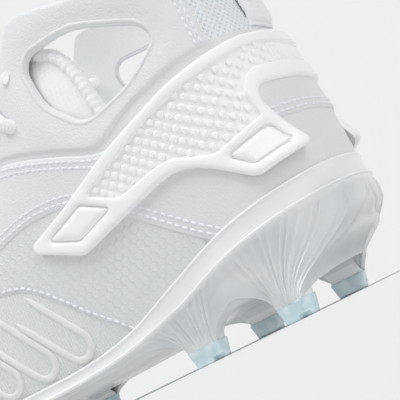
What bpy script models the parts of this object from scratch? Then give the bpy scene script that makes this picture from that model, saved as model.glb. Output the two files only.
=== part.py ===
"""Lacrosse cleat for the left foot, an assembly of separate solids.

Metres, +Z up. The toe points to -X and the outer side of the foot faces -Y. The cleat stands on its
stud tips at Z = 0. Every piece is worked out from one last: the form that the upper is pulled over.
"""

import math

import bmesh
import bpy
from mathutils import Matrix, Vector

MM = 0.001

# Frame: these put the origin under the middle of the whole cleat
HEEL_BACK_X = 143.8 * MM
HEEL_MIDDLE_Y = -0.4 * MM

# Sizes of the last, heel back to toe tip
LAST_LENGTH = 288 * MM
HEEL_AXIS = 34 * MM
TOE_AXIS = 238 * MM
HEEL_ARC = 54 * MM
TOE_ARC = 76 * MM
MID_LENGTH = TOE_AXIS - HEEL_AXIS
GIRTH_END = HEEL_ARC + MID_LENGTH + TOE_ARC

# Sections of the last in mm: place along the foot, middle line's offset, half width, shift of the crest,
# ridge height, insole bed, top of the sole's wall, underside of the plate
LAST_COLUMNS = ("station", "middle", "half", "crest", "ridge", "bed", "wall", "under")
LAST_ROWS = (
    (0, 0.0, 30.0, 0.0, 190, 20.5, 42.5, 14.5),
    (34, 0.0, 33.5, 0.0, 190, 19.8, 36.2, 13.6),
    (60, -0.8, 34.0, 0.5, 182, 18.2, 28.3, 12.2),
    (78, -1.8, 33.5, 1.4, 169, 16.8, 22.6, 11.2),
    (92, -2.6, 33.5, 2.4, 153, 15.6, 19.8, 10.2),
    (108, -3.2, 34.5, 3.4, 130, 14.4, 18.3, 9.6),
    (128, -3.2, 37.0, 4.0, 109, 13.6, 18.2, 9.2),
    (155, -2.2, 42.0, 3.6, 91, 13.0, 18.2, 9.0),
    (185, -0.6, 46.0, 2.4, 78, 12.8, 18.8, 9.0),
    (212, 1.6, 45.5, 1.0, 68, 13.8, 20.8, 9.8),
    (238, 3.6, 40.0, 0.0, 60, 16.4, 24.0, 12.2),
    (265, 4.5, 30.0, 0.0, 52, 21.0, 29.6, 16.4),
    (292, 5.5, 10.0, 0.0, 40, 27.0, 36.6, 22.0),
)
BELLY_RISE = ((0, 28), (34, 28), (92, 26), (155, 18), (212, 15), (292, 12))
HEEL_CURVE = ((14, -3.0), (24, -1.6), (44, 0.0), (62, -0.6), (84, -3.0), (106, -5.0), (130, -5.0))
FEATHER_TUCK = 0.05
ARCH_POWER = 2.5
HEEL_ROUND = 2.15
TOE_ROUND = 1.95
ARCH_STEPS = 60

# Upper: wall, collar line and throat
QUARTER_WALL = 2.2 * MM
WING_WALL = 3.2 * MM
GAP = 0.45 * MM
STEP_RUN = 1.2 * MM
COLLAR_LINE = ((0, 121), (20, 122.5), (40, 126), (54, 129.5), (72, 136.3), (84, 141), (92, 144.3),
               (98, 146.4), (103, 147.2), (107, 146.2), (110, 143.4), (113, 139), (118, 130))
COLLAR_FRONT = 118 * MM
THROAT_HALF = ((80, 19), (95, 20), (102, 22), (112, 20.5), (126, 17.5), (146, 14.5), (166, 12.5))
THROAT_END = 182 * MM
THROAT_ROUND = 14 * MM
EYESTAY_WIDTH = 20 * MM
EYESTAY_END = 198 * MM
WING_LINE = ((0, 93), (31, 93), (44, 91.8), (54, 90.4), (64, 88.8), (72, 86.2), (78, 84), (84, 83.4),
             (90, 85.8), (96, 88.8), (108, 94.3), (122, 99.6))
KNIT_EDGE = 30 * MM
ROWS_BELOW = 6
ROWS_ABOVE = 4
HEEL_STEPS = 7
TOE_STEPS = 6
MID_STATIONS = (44, 54, 63, 71, 78, 84, 90, 96, 103, 112, 123, 135, 147, 159, 168, 175, 179, 182, 190,
                198, 209, 219, 229, 238)

# Ankle cut-out, as girth and height of its corners with the corner's rounding
ANKLE_HOLE = ((102.9, 129.9, 6), (98, 107.7, 23), (83.6, 92.2, 12), (60.6, 95.1, 30), (45.1, 103.6, 4.4),
              (48.5, 111.2, 10), (74.3, 126.2, 35))

# Lacing: station and height of the eyelets on the ankle wing, then stations along the throat
WING_EYELETS = ((90, 126.5), (93.5, 107))
THROAT_EYELETS = (109, 125, 142, 159)
EYELET_SETBACK = 9 * MM
EYELET_RADIUS = 2.4 * MM
LACE_RADIUS = 1.9 * MM
LACE_SEAT = 6.4 * MM
LACE_DROP = 2.2 * MM
LACE_STEPS = ((0.0, 0.0), (0.5, 0.0), (1.0, 1.0))

# Tongue: where its top edge starts, from the middle (0) to each side edge (1), and its lower side edge
TONGUE_OUTER_TOP = ((0, 104), (0.2, 102), (0.33, 96.5), (0.44, 89), (0.575, 77.5), (0.655, 71), (0.79, 65.3),
                    (1, 61.5))
TONGUE_INNER_TOP = ((0, 104), (0.2, 107), (0.4, 110), (0.6, 111), (0.8, 108), (1, 104))
TONGUE_TOE_END = 192 * MM
TONGUE_SIDE_Z = ((60, 88), (78, 84), (92, 80), (108, 74), (128, 68), (155, 62), (192, 58))
TONGUE_THICKNESS = 3.4 * MM
TONGUE_GAP = 1.4 * MM
TONGUE_LENGTHS = 10
TONGUE_ACROSS = 14
BINDING_RADIUS = 2.9 * MM
BINDING_DEPTH = 4.2 * MM
BINDING_POINTS = 26

INSOLE_THICKNESS = 3.2 * MM

# Sole wall: thickness at its top edge and below the step, and the height of its smooth band
WALL_LIP = 1.5 * MM
WALL_BAND = 2.1 * MM
WALL_STEP = 3.1 * MM
BAND_SHARE = 0.42
BAND_MOST = 7 * MM

# Studs: name, station, offset of the tip from the middle line, turn of the tip in degrees, stem's spread
# and how many flutes run down its outer flank
STUD_ROWS = (
    ("heel_outer_back", 24, -30, -20, 1.0, 4),
    ("heel_inner_back", 32, 32, 8, 1.0, 4),
    ("heel_outer_front", 60, -31, 0, 1.0, 4),
    ("heel_inner_front", 70, 30.5, 0, 1.0, 4),
    ("ball_outer_back", 158, -32, 8, 0.8, 2),
    ("ball_inner_back", 163, 31, -10, 0.8, 2),
    ("ball_outer_middle", 192, -35, 3, 0.8, 2),
    ("ball_inner_middle", 198, 36, 0, 0.8, 2),
    ("ball_outer_front", 225, -31, -10, 0.8, 2),
    ("ball_inner_front", 231, 36, 12, 0.8, 2),
    ("toe_outer", 256, -15, -28, 0.55, 2),
    ("toe_inner", 260, 22, 30, 0.55, 2),
)
TIP_LENGTH = 13.6 * MM
TIP_WIDTH = 8.6 * MM
TIP_HEIGHT = 6.0 * MM
TIP_TAPER = 0.84
TIP_CORNER = 2.0 * MM
TIP_NOTCH = 1.6 * MM
STEM_LENGTH = 40 * MM
STEM_DEPTH = 19 * MM
STEM_TUCK = 0.9 * MM
STEM_FLARE = 1.5
STEM_BITE = 2.2 * MM
STEM_LEVELS = (0.0, 0.35, 0.7, 1.0)
FLUTE_DEPTH = 0.4 * MM

# Heel strap in girth and height: outline of one half with corner rounding, then the pockets in its face
STRAP_OUTLINE = ((0, 92.3, 0), (24, 91.2, 40), (52, 85.8, 60), (80, 79.2, 80), (104, 70.8, 60),
                 (128, 63.6, 2.5), (105, 52.2, 6), (54.7, 62.1, 24), (35.3, 45.4, 5), (17.4, 48.8, 2),
                 (24.9, 67.5, 8), (23.2, 73, 4), (0, 72.6, 0))
STRAP_FIELD = ((0, 87.6, 0), (20, 87.4, 30), (57, 81, 60), (94.2, 69.6, 1), (81, 62.6, 4), (59, 65.4, 20),
               (43.5, 58, 4), (26.7, 62.8, 1), (28.6, 72, 9), (24.4, 78.8, 6), (0, 78.8, 0))
STRAP_FRONT_WINDOW = ((117.4, 63.1, 1.2), (103.6, 56.8, 4), (84.8, 61.4, 1.2), (97.8, 68.8, 3))
STRAP_REAR_WINDOW = ((41.4, 55.9, 1.5), (34.6, 49, 2.5), (22, 51.3, 1), (25.9, 60, 3))
STRAP_SEAT = 2.8 * MM
STRAP_THICKNESS = 2.7 * MM
STRAP_POCKET = 1.1 * MM
STRAP_FLARE = 3.6 * MM
STRAP_FLARE_TOP = 60 * MM
STRAP_FLARE_REACH = 16 * MM
STRAP_CUT_GIRTHS = (64, 83, 104)
STRAP_CUT_HEIGHTS = (57, 75)
ARC_STEP = math.radians(48)

# Raised welts on the vamp: girth and height of the loop's lower turn, its lean and its length
WELT_PITCH = 17 * MM
WELT_COUNT = 4
WELT_FIRST = 125 * MM
WELT_FOOT = 26 * MM
WELT_LEAN = math.radians(38)
WELT_LENGTH = 27 * MM
WELT_HALF = 5.2 * MM
WELT_WIDTH = 2.6 * MM
WELT_HEIGHT = 1.0 * MM
WELT_ARM_STEPS = 4
WELT_TURN_STEPS = 6

# Pull tab at the back of the heel
TAB_WIDTH = 18 * MM
TAB_THICKNESS = 3.0 * MM
TAB_FOOT = 96 * MM
TAB_TOP = 133 * MM
TAB_ROWS = 7
TAB_CORNER = 1.0 * MM


def smooth(rows, at):
    """A cubic Hermite curve through (place, value) rows, level past both ends."""
    places = [row[0] for row in rows]
    values = [row[1] for row in rows]
    if at <= places[0]:
        return values[0]
    if at >= places[-1]:
        return values[-1]
    k = next(i for i in range(len(places) - 1) if at <= places[i + 1])

    def slope(i):
        low, high = max(i - 1, 0), min(i + 1, len(places) - 1)
        return (values[high] - values[low]) / (places[high] - places[low])

    span = places[k + 1] - places[k]
    t = (at - places[k]) / span
    rise = t * t * (3 - 2 * t)
    ends = values[k] * (1 - rise) + values[k + 1] * rise
    return ends + span * t * (1 - t) * (slope(k) * (1 - t) - slope(k + 1) * t)


LAST_TABLES = {
    name: [(row[0], row[k]) for row in LAST_ROWS] for k, name in enumerate(LAST_COLUMNS)
}


def last(name, station):
    """One column of the last's table at a place along the foot."""
    return smooth(LAST_TABLES[name], station / MM) * MM


def ease(t):
    t = min(max(t, 0.0), 1.0)
    return t * t * (3 - 2 * t)


def round_reach(across, along, turn, power):
    """Radius of a rounded end whose half axes are across and along, at a turn from along."""
    return ((math.cos(turn) / along) ** power + (math.sin(turn) / across) ** power) ** (-1 / power)


class LastPlane:
    """An upright plane that cuts the last: it turns round the heel, walks forward and turns round the toe.

    girth is the way round from the heel's back, and side is -1 on the outer side and 1 on the inner side.
    """

    def __init__(self, girth, side):
        self.heel = 0.0
        if girth < HEEL_ARC:
            turn = girth / HEEL_ARC * math.pi / 2
            self.station = HEEL_AXIS
            self.out = (-math.cos(turn), side * math.sin(turn))
            self.reach = round_reach(last("half", HEEL_AXIS), HEEL_AXIS, turn, HEEL_ROUND)
            self.heel = math.cos(turn) ** 2
        elif girth <= HEEL_ARC + MID_LENGTH:
            self.station = HEEL_AXIS + girth - HEEL_ARC
            self.out = (0.0, side)
            self.reach = last("half", self.station)
        else:
            turn = min((girth - HEEL_ARC - MID_LENGTH) / TOE_ARC, 1.0) * math.pi / 2
            self.station = TOE_AXIS
            self.out = (math.sin(turn), side * math.cos(turn))
            toe = LAST_LENGTH - TOE_AXIS
            self.reach = round_reach(last("half", TOE_AXIS), toe, math.pi / 2 - turn, TOE_ROUND)
        self.middle = last("middle", self.station)
        self.foot = self.station + self.out[0] * self.reach
        self.bed = last("bed", self.foot)
        self.belly = self.bed + smooth(BELLY_RISE, self.foot / MM) * MM
        self.ridge = last("ridge", self.station)
        self.crest = last("crest", self.station)

    def width(self, z):
        """Distance of the last's side from the middle line at a height."""
        if z < self.belly:
            low = (self.belly - z) / (self.belly - self.bed)
            wide = self.reach * (1 - FEATHER_TUCK * low * low)
        else:
            rise = min((z - self.belly) / (self.ridge - self.belly), 1.0)
            turn = math.asin(rise ** (ARCH_POWER / 2))
            wide = self.reach * math.cos(turn) ** (2 / ARCH_POWER)
        return wide + self.heel * smooth(HEEL_CURVE, z / MM) * MM

    def place(self, wide, z):
        """The point of this plane at a distance from the middle line and a height."""
        rise = max(z - self.belly, 0.0) / (self.ridge - self.belly)
        return Vector((
            HEEL_BACK_X - self.station - self.out[0] * wide,
            HEEL_MIDDLE_Y + self.middle + self.out[1] * wide + self.crest * rise * rise,
            z,
        ))

    def outline(self):
        """(distance, height) pairs of the section, from the bed up to the ridge."""
        step = (self.belly - self.bed) / 6
        lower = [(self.width(self.bed + k * step), self.bed + k * step) for k in range(6)]
        for k in range(ARCH_STEPS + 1):
            turn = k / ARCH_STEPS * math.pi / 2
            z = self.belly + (self.ridge - self.belly) * math.sin(turn) ** (2 / ARCH_POWER)
            bend = self.heel * smooth(HEEL_CURVE, z / MM) * MM
            lower.append((self.reach * max(math.cos(turn), 0.0) ** (2 / ARCH_POWER) + bend, z))
        return lower


def on_last(girth, z, off):
    """A point off the last's surface, girth being negative on the outer side, with the surface's normal."""
    def at(g, height):
        plane = LastPlane(abs(g), -1 if g < 0 else 1)
        return plane.place(plane.width(height), height)

    nudge = 0.2 * MM
    along = at(girth + nudge, z) - at(girth - nudge, z)
    up = at(girth, z + nudge) - at(girth, z - nudge)
    normal = along.cross(up).normalized()
    return at(girth, z) + normal * off, normal


def throat_half(station):
    """Half of the throat's width: it narrows forward and ends in a round."""
    half = smooth(THROAT_HALF, station / MM) * MM
    into = (station - THROAT_END + THROAT_ROUND) / THROAT_ROUND
    return half * math.sqrt(max(1 - max(into, 0.0) ** 2, 0.0))


def cut_outline(points, past):
    """The outline up to where past first holds, with the last point set between its neighbours."""
    kept = [points[0]]
    for before, after in zip(points, points[1:]):
        if past(*after):
            low, high = 0.0, 1.0
            for _ in range(30):
                t = (low + high) / 2
                point = [a + (b - a) * t for a, b in zip(before, after)]
                low, high = (low, t) if past(*point) else (t, high)
            return kept + [tuple(point)]
        kept.append(after)
    return kept


def upper_outline(girth, side):
    """The plane and section of the upper, which stops at the collar, the throat's edge or the ridge."""
    plane = LastPlane(girth, side)
    points = plane.outline()
    if girth < COLLAR_FRONT:
        collar = smooth(COLLAR_LINE, girth / MM) * MM
        points = cut_outline(points, lambda wide, z: z >= collar)
    if HEEL_ARC < girth and plane.station < THROAT_END and plane.out[0] == 0:
        half = throat_half(plane.station)
        points = cut_outline(points, lambda wide, z: wide <= half and z > plane.belly)
    return plane, points


def lengths_along(points):
    far = [0.0]
    for (w0, z0), (w1, z1) in zip(points, points[1:]):
        far.append(far[-1] + math.hypot(w1 - w0, z1 - z0))
    return far


def point_along(points, far, length):
    """The (distance, height) pair at a length along an outline."""
    length = min(max(length, 0.0), far[-1])
    k = next(i for i in range(len(far) - 1) if length <= far[i + 1] or i == len(far) - 2)
    t = (length - far[k]) / (far[k + 1] - far[k])
    return tuple(a + (b - a) * t for a, b in zip(points[k], points[k + 1]))


def wing_edge_length(girth, plane, points, far):
    """How far up the section the lower edge of the ankle wing and the eyestay lies."""
    by_height = smooth(WING_LINE, girth / MM) * MM
    hung = next((f for f, (w, z) in zip(far, points) if z >= by_height), far[-1])
    width = EYESTAY_WIDTH
    if plane.station > THROAT_END:
        ahead = min((plane.station - THROAT_END) / (EYESTAY_END - THROAT_END), 1.0)
        width = EYESTAY_WIDTH * math.sqrt(1 - ahead * ahead)
    from_top = far[-1] - width
    mix = ease((girth / MM - 112) / 14)
    edge = hung * (1 - mix) + from_top * mix
    return min(max(edge, 0.3 * far[-1]), far[-1] - 2.5 * STEP_RUN)


def girth_columns():
    """Girths of the planes on one side, heel back to toe tip."""
    heel = [HEEL_ARC * k / HEEL_STEPS for k in range(HEEL_STEPS + 1)]
    heel = [g for g in heel if abs(g - KNIT_EDGE) > 3 * STEP_RUN]
    heel += [KNIT_EDGE - STEP_RUN / 2, KNIT_EDGE + STEP_RUN / 2]
    middle = [HEEL_ARC + s * MM - HEEL_AXIS for s in MID_STATIONS]
    toe = [HEEL_ARC + MID_LENGTH + TOE_ARC * k / TOE_STEPS for k in range(1, TOE_STEPS + 1)]
    return sorted(heel) + middle + toe


def ring_columns():
    """(girth, side) of the planes all the way round: outer side forward, inner side back."""
    girths = girth_columns()
    outer = [(g, -1) for g in girths]
    return outer + [(g, 1) for g in reversed(girths[1:-1])]


PARTS = "lacrosse_cleat"
CUTTERS = "cutters"


def collection(name):
    found = bpy.data.collections.get(name)
    if found is None:
        found = bpy.data.collections.new(name)
        bpy.context.scene.collection.children.link(found)
    return found


def new_object(name, mesh, material=None, group=PARTS):
    item = bpy.data.objects.new(name, mesh)
    collection(group).objects.link(item)
    if material:
        mesh.materials.clear()
        mesh.materials.append(material)
    if group == CUTTERS:
        item.hide_render = True
        item.display_type = "WIRE"
    return item


def finish_mesh(work, name, merge=1e-6, recalc=True):
    """Welds the work mesh, points its faces out and returns it as mesh data."""
    bmesh.ops.remove_doubles(work, verts=work.verts, dist=merge)
    bmesh.ops.dissolve_degenerate(work, edges=work.edges, dist=merge)
    if recalc:
        bmesh.ops.recalc_face_normals(work, faces=work.faces)
        if work.calc_volume(signed=True) < 0:
            bmesh.ops.reverse_faces(work, faces=work.faces)
    mesh = bpy.data.meshes.new(name)
    work.to_mesh(mesh)
    work.free()
    return mesh


def loft_rings(name, rings, closed=True, caps=False):
    """A skin through rings of equally many points. Rings that shrink to a line close the ends."""
    work = bmesh.new()
    verts = [[work.verts.new(p) for p in ring] for ring in rings]
    count = len(rings[0])
    for low, high in zip(verts, verts[1:]):
        for k in range(count if closed else count - 1):
            n = (k + 1) % count
            work.faces.new((low[k], low[n], high[n], high[k]))
    if caps:
        work.faces.new(list(reversed(verts[0])))
        work.faces.new(verts[-1])
    return finish_mesh(work, name, recalc=closed)


def boolean(item, cutter, operation):
    tool = item.modifiers.new(operation.lower(), "BOOLEAN")
    tool.operation = operation
    tool.object = cutter
    tool.solver = "EXACT"


def applied(item):
    """The object's mesh with its modifiers applied."""
    graph = bpy.context.evaluated_depsgraph_get()
    mesh = bpy.data.meshes.new_from_object(item.evaluated_get(graph))
    item.modifiers.clear()
    item.data = mesh
    return item


def shade_round(item, angle=40):
    item.data.shade_smooth()
    item.data.set_sharp_from_angle(angle=math.radians(angle))


def material(name, colour, rough, metallic=0.0, clear=0.0):
    made = bpy.data.materials.new(name)
    made.use_nodes = True
    shader = made.node_tree.nodes["Principled BSDF"]
    shader.inputs["Base Color"].default_value = (*colour, 1.0)
    shader.inputs["Roughness"].default_value = rough
    shader.inputs["Metallic"].default_value = metallic
    shader.inputs["Transmission Weight"].default_value = clear
    return made


def filleted(corners):
    """Points of a closed outline whose corners (along, up, radius) in mm are rounded by arcs."""
    points = []
    for k, (along, up, radius) in enumerate(corners):
        corner = Vector((along, up)) * MM
        if radius == 0:
            points.append(corner)
            continue
        before = Vector(corners[k - 1][:2]) * MM - corner
        after = Vector(corners[(k + 1) % len(corners)][:2]) * MM - corner
        half = before.angle(after) / 2
        back = min(radius * MM / math.tan(half), 0.48 * before.length, 0.48 * after.length)
        radius = back * math.tan(half)
        middle = corner + (before.normalized() + after.normalized()).normalized() * radius / math.sin(half)
        start = corner + before.normalized() * back - middle
        end = corner + after.normalized() * back - middle
        sweep = start.angle_signed(end)
        steps = max(1, math.ceil(abs(sweep) / ARC_STEP))
        for n in range(steps + 1):
            turned = Matrix.Rotation(-sweep * n / steps, 2) @ start
            points.append(middle + turned)
    return points


def mirrored(corners):
    """A whole outline from the half with girths from 0 up."""
    other = [(-along, up, radius) for along, up, radius in reversed(corners) if along > 0]
    return list(corners) + other


def prism(name, points, low, high, group=CUTTERS):
    """A flat outline given a thickness along Z: a filled curve, extruded and made a mesh."""
    curve = bpy.data.curves.new(name, "CURVE")
    curve.dimensions = "2D"
    curve.fill_mode = "BOTH"
    curve.extrude = (high - low) / 2
    spline = curve.splines.new("POLY")
    spline.points.add(len(points) - 1)
    for spot, point in zip(spline.points, points):
        spot.co = (*point, 0.0, 1.0)
    spline.use_cyclic_u = True
    drawn = new_object(name + "_outline", curve, group=group)
    graph = bpy.context.evaluated_depsgraph_get()
    mesh = bpy.data.meshes.new_from_object(drawn.evaluated_get(graph))
    bpy.data.objects.remove(drawn)
    work = bmesh.new()
    work.from_mesh(mesh)
    bmesh.ops.translate(work, verts=work.verts, vec=(0, 0, (low + high) / 2))
    return new_object(name, finish_mesh(work, name, merge=1e-7), group=group)


def tube(name, points, radius):
    """A round cord along points, as a mesh with welded caps."""
    curve = bpy.data.curves.new(name, "CURVE")
    curve.dimensions = "3D"
    curve.bevel_depth = radius
    curve.bevel_resolution = 2
    curve.use_fill_caps = True
    spline = curve.splines.new("POLY")
    spline.points.add(len(points) - 1)
    for spot, point in zip(spline.points, points):
        spot.co = (*point, 1.0)
    drawn = new_object(name + "_line", curve, group=CUTTERS)
    graph = bpy.context.evaluated_depsgraph_get()
    mesh = bpy.data.meshes.new_from_object(drawn.evaluated_get(graph))
    bpy.data.objects.remove(drawn)
    work = bmesh.new()
    work.from_mesh(mesh)
    return finish_mesh(work, name, merge=1e-6)


def make_upper(leather):
    """The upper's wall, thicker on the ankle wing and eyestay, with its ankle cut-outs and eyelets."""
    rings = [[] for _ in range(ROWS_BELOW + ROWS_ABOVE + 2)]
    thick = []
    for girth, side in ring_columns():
        plane, points = upper_outline(girth, side)
        far = lengths_along(points)
        edge = wing_edge_length(girth, plane, points, far)
        low, high = edge - STEP_RUN / 2, edge + STEP_RUN / 2
        spots = [low * k / ROWS_BELOW for k in range(ROWS_BELOW + 1)]
        spots += [high + (far[-1] - high) * k / ROWS_ABOVE for k in range(ROWS_ABOVE + 1)]
        on_wing = girth > KNIT_EDGE and plane.station < EYESTAY_END and plane.out[0] <= 0
        for row, spot in enumerate(spots):
            rings[row].append(plane.place(*point_along(points, far, spot)))
            if on_wing and row > ROWS_BELOW:
                thick.append(rings[row][-1].copy())
    mesh = loft_rings("upper", rings)
    upper = new_object("upper", mesh, leather)
    wing = upper.vertex_groups.new(name="wing")
    marks = {tuple(round(c / MM, 2) for c in p) for p in thick}
    wing.add([v.index for v in mesh.vertices if tuple(round(c / MM, 2) for c in v.co) in marks], 1.0, "ADD")
    shell = upper.modifiers.new("wall", "SOLIDIFY")
    shell.thickness = WING_WALL
    shell.offset = 1.0
    shell.vertex_group = "wing"
    shell.thickness_vertex_group = QUARTER_WALL / WING_WALL
    applied(upper)
    boolean(upper, ankle_hole_cutter(), "DIFFERENCE")
    boolean(upper, eyelet_cutters(), "DIFFERENCE")
    applied(upper)
    shade_round(upper)
    return upper


def ankle_hole_cutter():
    """A prism right across the ankle, with the cut-out's outline seen from the side."""
    corners = [(along - (HEEL_ARC - HEEL_AXIS) / MM, up, radius) for along, up, radius in ANKLE_HOLE]
    points = filleted(corners)
    cutter = prism("ankle_hole", points, -60 * MM, 60 * MM)
    stand = Matrix(((-1, 0, 0, HEEL_BACK_X), (0, 0, 1, 0), (0, 1, 0, 0), (0, 0, 0, 1)))
    cutter.data.transform(stand)
    return cutter


def eyelet_spots():
    """Girth and height of each eyelet on one side, top to toe."""
    spots = [(HEEL_ARC - HEEL_AXIS + s * MM, z * MM) for s, z in WING_EYELETS]
    for station in THROAT_EYELETS:
        girth = HEEL_ARC - HEEL_AXIS + station * MM
        _, points = upper_outline(girth, -1)
        far = lengths_along(points)
        spots.append((girth, point_along(points, far, far[-1] - EYELET_SETBACK)[1]))
    return spots


def eyelet_cutters():
    work = bmesh.new()
    for girth, z in eyelet_spots():
        for side in (-1, 1):
            spot, normal = on_last(side * girth, z, QUARTER_WALL)
            stand = Matrix.Translation(spot) @ normal.to_track_quat("Z", "Y").to_matrix().to_4x4()
            bmesh.ops.create_cone(work, cap_ends=True, segments=6, radius1=EYELET_RADIUS,
                                  radius2=EYELET_RADIUS, depth=12 * MM, matrix=stand)
    return new_object("eyelets", finish_mesh(work, "eyelets"), group=CUTTERS)


def make_outsole(clear_plastic):
    """The moulded plate: bed, wall with a smooth band over a ribbed step, underside and stud stems."""
    rings = [[] for _ in range(9)]
    for girth, side in ring_columns():
        plane = LastPlane(girth, side)
        wall = last("wall", plane.foot)
        under = last("under", plane.foot)
        band = wall - min(BAND_SHARE * (wall - under), BAND_MOST)
        seat = QUARTER_WALL + GAP
        spots = [(0.0, None)]
        spots.append((plane.width(plane.bed) + seat, plane.bed - GAP))
        spots.append((plane.width(wall) + seat, wall))
        spots.append((plane.width(wall) + seat + WALL_LIP, wall))
        spots.append((plane.width(band) + seat + WALL_BAND, band))
        spots.append((plane.width(band) + seat + WALL_STEP, band - 1.0 * MM))
        spots.append((plane.width(plane.bed) + seat + WALL_BAND, under + 2.4 * MM))
        spots.append((plane.width(plane.bed) - 1.5 * MM, under))
        spots.append((0.0, None))
        for ring, (wide, z) in enumerate(spots):
            if z is None:
                station = plane.station + plane.out[0] * wide
                z = last("bed", station) - GAP if ring == 0 else last("under", station)
            spot = plane.place(wide, z)
            rings[ring].append(spot)
    plate = new_object("outsole", loft_rings("outsole", rings), clear_plastic)
    boolean(plate, stud_stems(), "UNION")
    applied(plate)
    shade_round(plate)
    return plate


def stud_place(station, offset, turn):
    """Frame of a stud tip on the floor: its length runs along the sole."""
    middle = last("middle", station * MM)
    spot = Vector((HEEL_BACK_X - station * MM, HEEL_MIDDLE_Y + middle + offset * MM, 0.0))
    return Matrix.Translation(spot) @ Matrix.Rotation(math.radians(turn), 4, "Z")


def rounded_loop(length, width, corner, flutes=0, steps=2):
    """A rounded rectangle about the origin, with shallow flutes along its +Y side."""
    points = []
    for k, (sx, sy) in enumerate(((1, 1), (-1, 1), (-1, -1), (1, -1))):
        centre = Vector((sx * (length / 2 - corner), sy * (width / 2 - corner)))
        for n in range(steps + 1):
            turn = math.pi / 2 * (k + n / steps)
            points.append(centre + corner * Vector((math.cos(turn), math.sin(turn))))
        if k == 0:
            run = length - 2 * corner
            for n in range(1, 2 * flutes):
                dip = FLUTE_DEPTH if n % 2 else 0.0
                points.append(Vector((run / 2 - run * n / (2 * flutes), width / 2 - dip)))
    return points


def stud_girth(station, offset):
    """Girth of the last's plane that passes through a stud."""
    if station * MM < HEEL_AXIS:
        return HEEL_ARC * math.atan2(abs(offset), HEEL_AXIS / MM - station) / (math.pi / 2)
    if station * MM > TOE_AXIS:
        turn = math.atan2(station - TOE_AXIS / MM, abs(offset))
        return HEEL_ARC + MID_LENGTH + TOE_ARC * turn / (math.pi / 2)
    return HEEL_ARC + station * MM - HEEL_AXIS


def stem_top(girth, side, along, inset):
    """A point where a stem runs into the plate, inset from the edge of the plate's underside."""
    plane = LastPlane(max(girth - along, 0.0), side)
    wide = plane.width(plane.bed) + QUARTER_WALL + GAP + WALL_BAND - STEM_TUCK - inset
    return plane.place(wide, last("under", plane.station + plane.out[0] * wide) + STEM_BITE)


def stud_stems():
    """The stems that carry the tips: each spreads up into the plate, fluted on its outer flank."""
    work = bmesh.new()
    for name, station, offset, turn, spread, flutes in STUD_ROWS:
        stand = stud_place(station, offset, turn)
        side = -1 if offset < 0 else 1
        girth = stud_girth(station, offset)
        loop = rounded_loop(TIP_LENGTH, TIP_WIDTH, TIP_CORNER, flutes, steps=1)
        runs = [p.x / TIP_LENGTH * STEM_LENGTH * spread for p in loop]
        insets = [(0.5 - p.y / TIP_WIDTH) * STEM_DEPTH for p in loop]
        rings = []
        for level in STEM_LEVELS:
            ring = []
            for p, along, inset in zip(loop, runs, insets):
                low = stand @ Vector((p.x, side * p.y, TIP_HEIGHT + 0.3 * MM))
                high = stem_top(girth, side, along, inset)
                spot = low.lerp(high, level ** STEM_FLARE)
                spot.z = low.z + (high.z - low.z) * level
                ring.append(spot)
            rings.append(ring)
        stem = loft_rings("stem_" + name, rings, caps=True)
        work.from_mesh(stem)
        bpy.data.meshes.remove(stem)
    return new_object("stems", finish_mesh(work, "stems", recalc=False), group=CUTTERS)


def make_tips(ice_plastic):
    """One tip for each stud, moulded on its stem, with a notch across the outer bottom edge."""
    levels = ((0.0, TIP_TAPER * 0.9), (0.12, TIP_TAPER), (1.0, 1.0))
    for name, station, offset, turn, spread, flutes in STUD_ROWS:
        side = -1 if offset < 0 else 1
        rings = []
        for level, share in levels:
            loop = rounded_loop(TIP_LENGTH * share, TIP_WIDTH * share, TIP_CORNER * share)
            rings.append([Vector((p.x, side * p.y, TIP_HEIGHT * level)) for p in loop])
        tip = new_object("stud_tip_" + name, loft_rings("stud_tip_" + name, rings, caps=True), ice_plastic)
        work = bmesh.new()
        bmesh.ops.create_cube(work, size=1.0)
        bmesh.ops.scale(work, verts=work.verts, vec=(TIP_LENGTH * 0.4, TIP_WIDTH * 0.6, 2 * TIP_NOTCH))
        bmesh.ops.translate(work, verts=work.verts, vec=(TIP_LENGTH * 0.36, side * TIP_WIDTH * 0.42, 0))
        notch = new_object("notch_" + name, finish_mesh(work, "notch_" + name), group=CUTTERS)
        boolean(tip, notch, "DIFFERENCE")
        applied(tip)
        tip.matrix_world = stud_place(station, offset, turn)
        shade_round(tip)


def make_insole(foam):
    """The insole lies in the upper's foot, on the plate's bed."""
    rings = [[] for _ in range(4)]
    for girth, side in ring_columns():
        plane = LastPlane(girth, side)
        edge = plane.width(plane.bed) - GAP
        spots = ((0.0, 0.0), (1.0, 0.0), (1.0, 1.0), (0.0, 1.0))
        for ring, (share, level) in enumerate(spots):
            station = plane.station + plane.out[0] * edge * share
            z = last("bed", station) + level * INSOLE_THICKNESS
            rings[ring].append(plane.place(edge * share, z))
    insole = new_object("insole", loft_rings("insole", rings), foam)
    shade_round(insole)


def ridge_point(station, way):
    """The last's surface by its place along the foot and the way round from the ridge, negative outwards."""
    plane = LastPlane(HEEL_ARC - HEEL_AXIS + station, -1 if way < 0 else 1)
    points = plane.outline()
    far = lengths_along(points)
    return plane.place(*point_along(points, far, far[-1] - abs(way)))


def over_last(station, way, off):
    """A point off the last's surface near its ridge."""
    nudge = 2 * MM
    ahead = ridge_point(station + nudge, way) - ridge_point(station - nudge, way)
    across = ridge_point(station, way + nudge) - ridge_point(station, way - nudge)
    return ridge_point(station, way) + across.cross(ahead).normalized() * off


def way_from_ridge(station, z):
    """How far round from the ridge the last's side reaches a height."""
    points = LastPlane(HEEL_ARC - HEEL_AXIS + station, 1).outline()
    far = lengths_along(points)
    level = next(k for k, point in enumerate(points) if point[1] >= z)
    share = (z - points[level - 1][1]) / (points[level][1] - points[level - 1][1])
    return far[-1] - far[level - 1] - share * (far[level] - far[level - 1])


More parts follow.
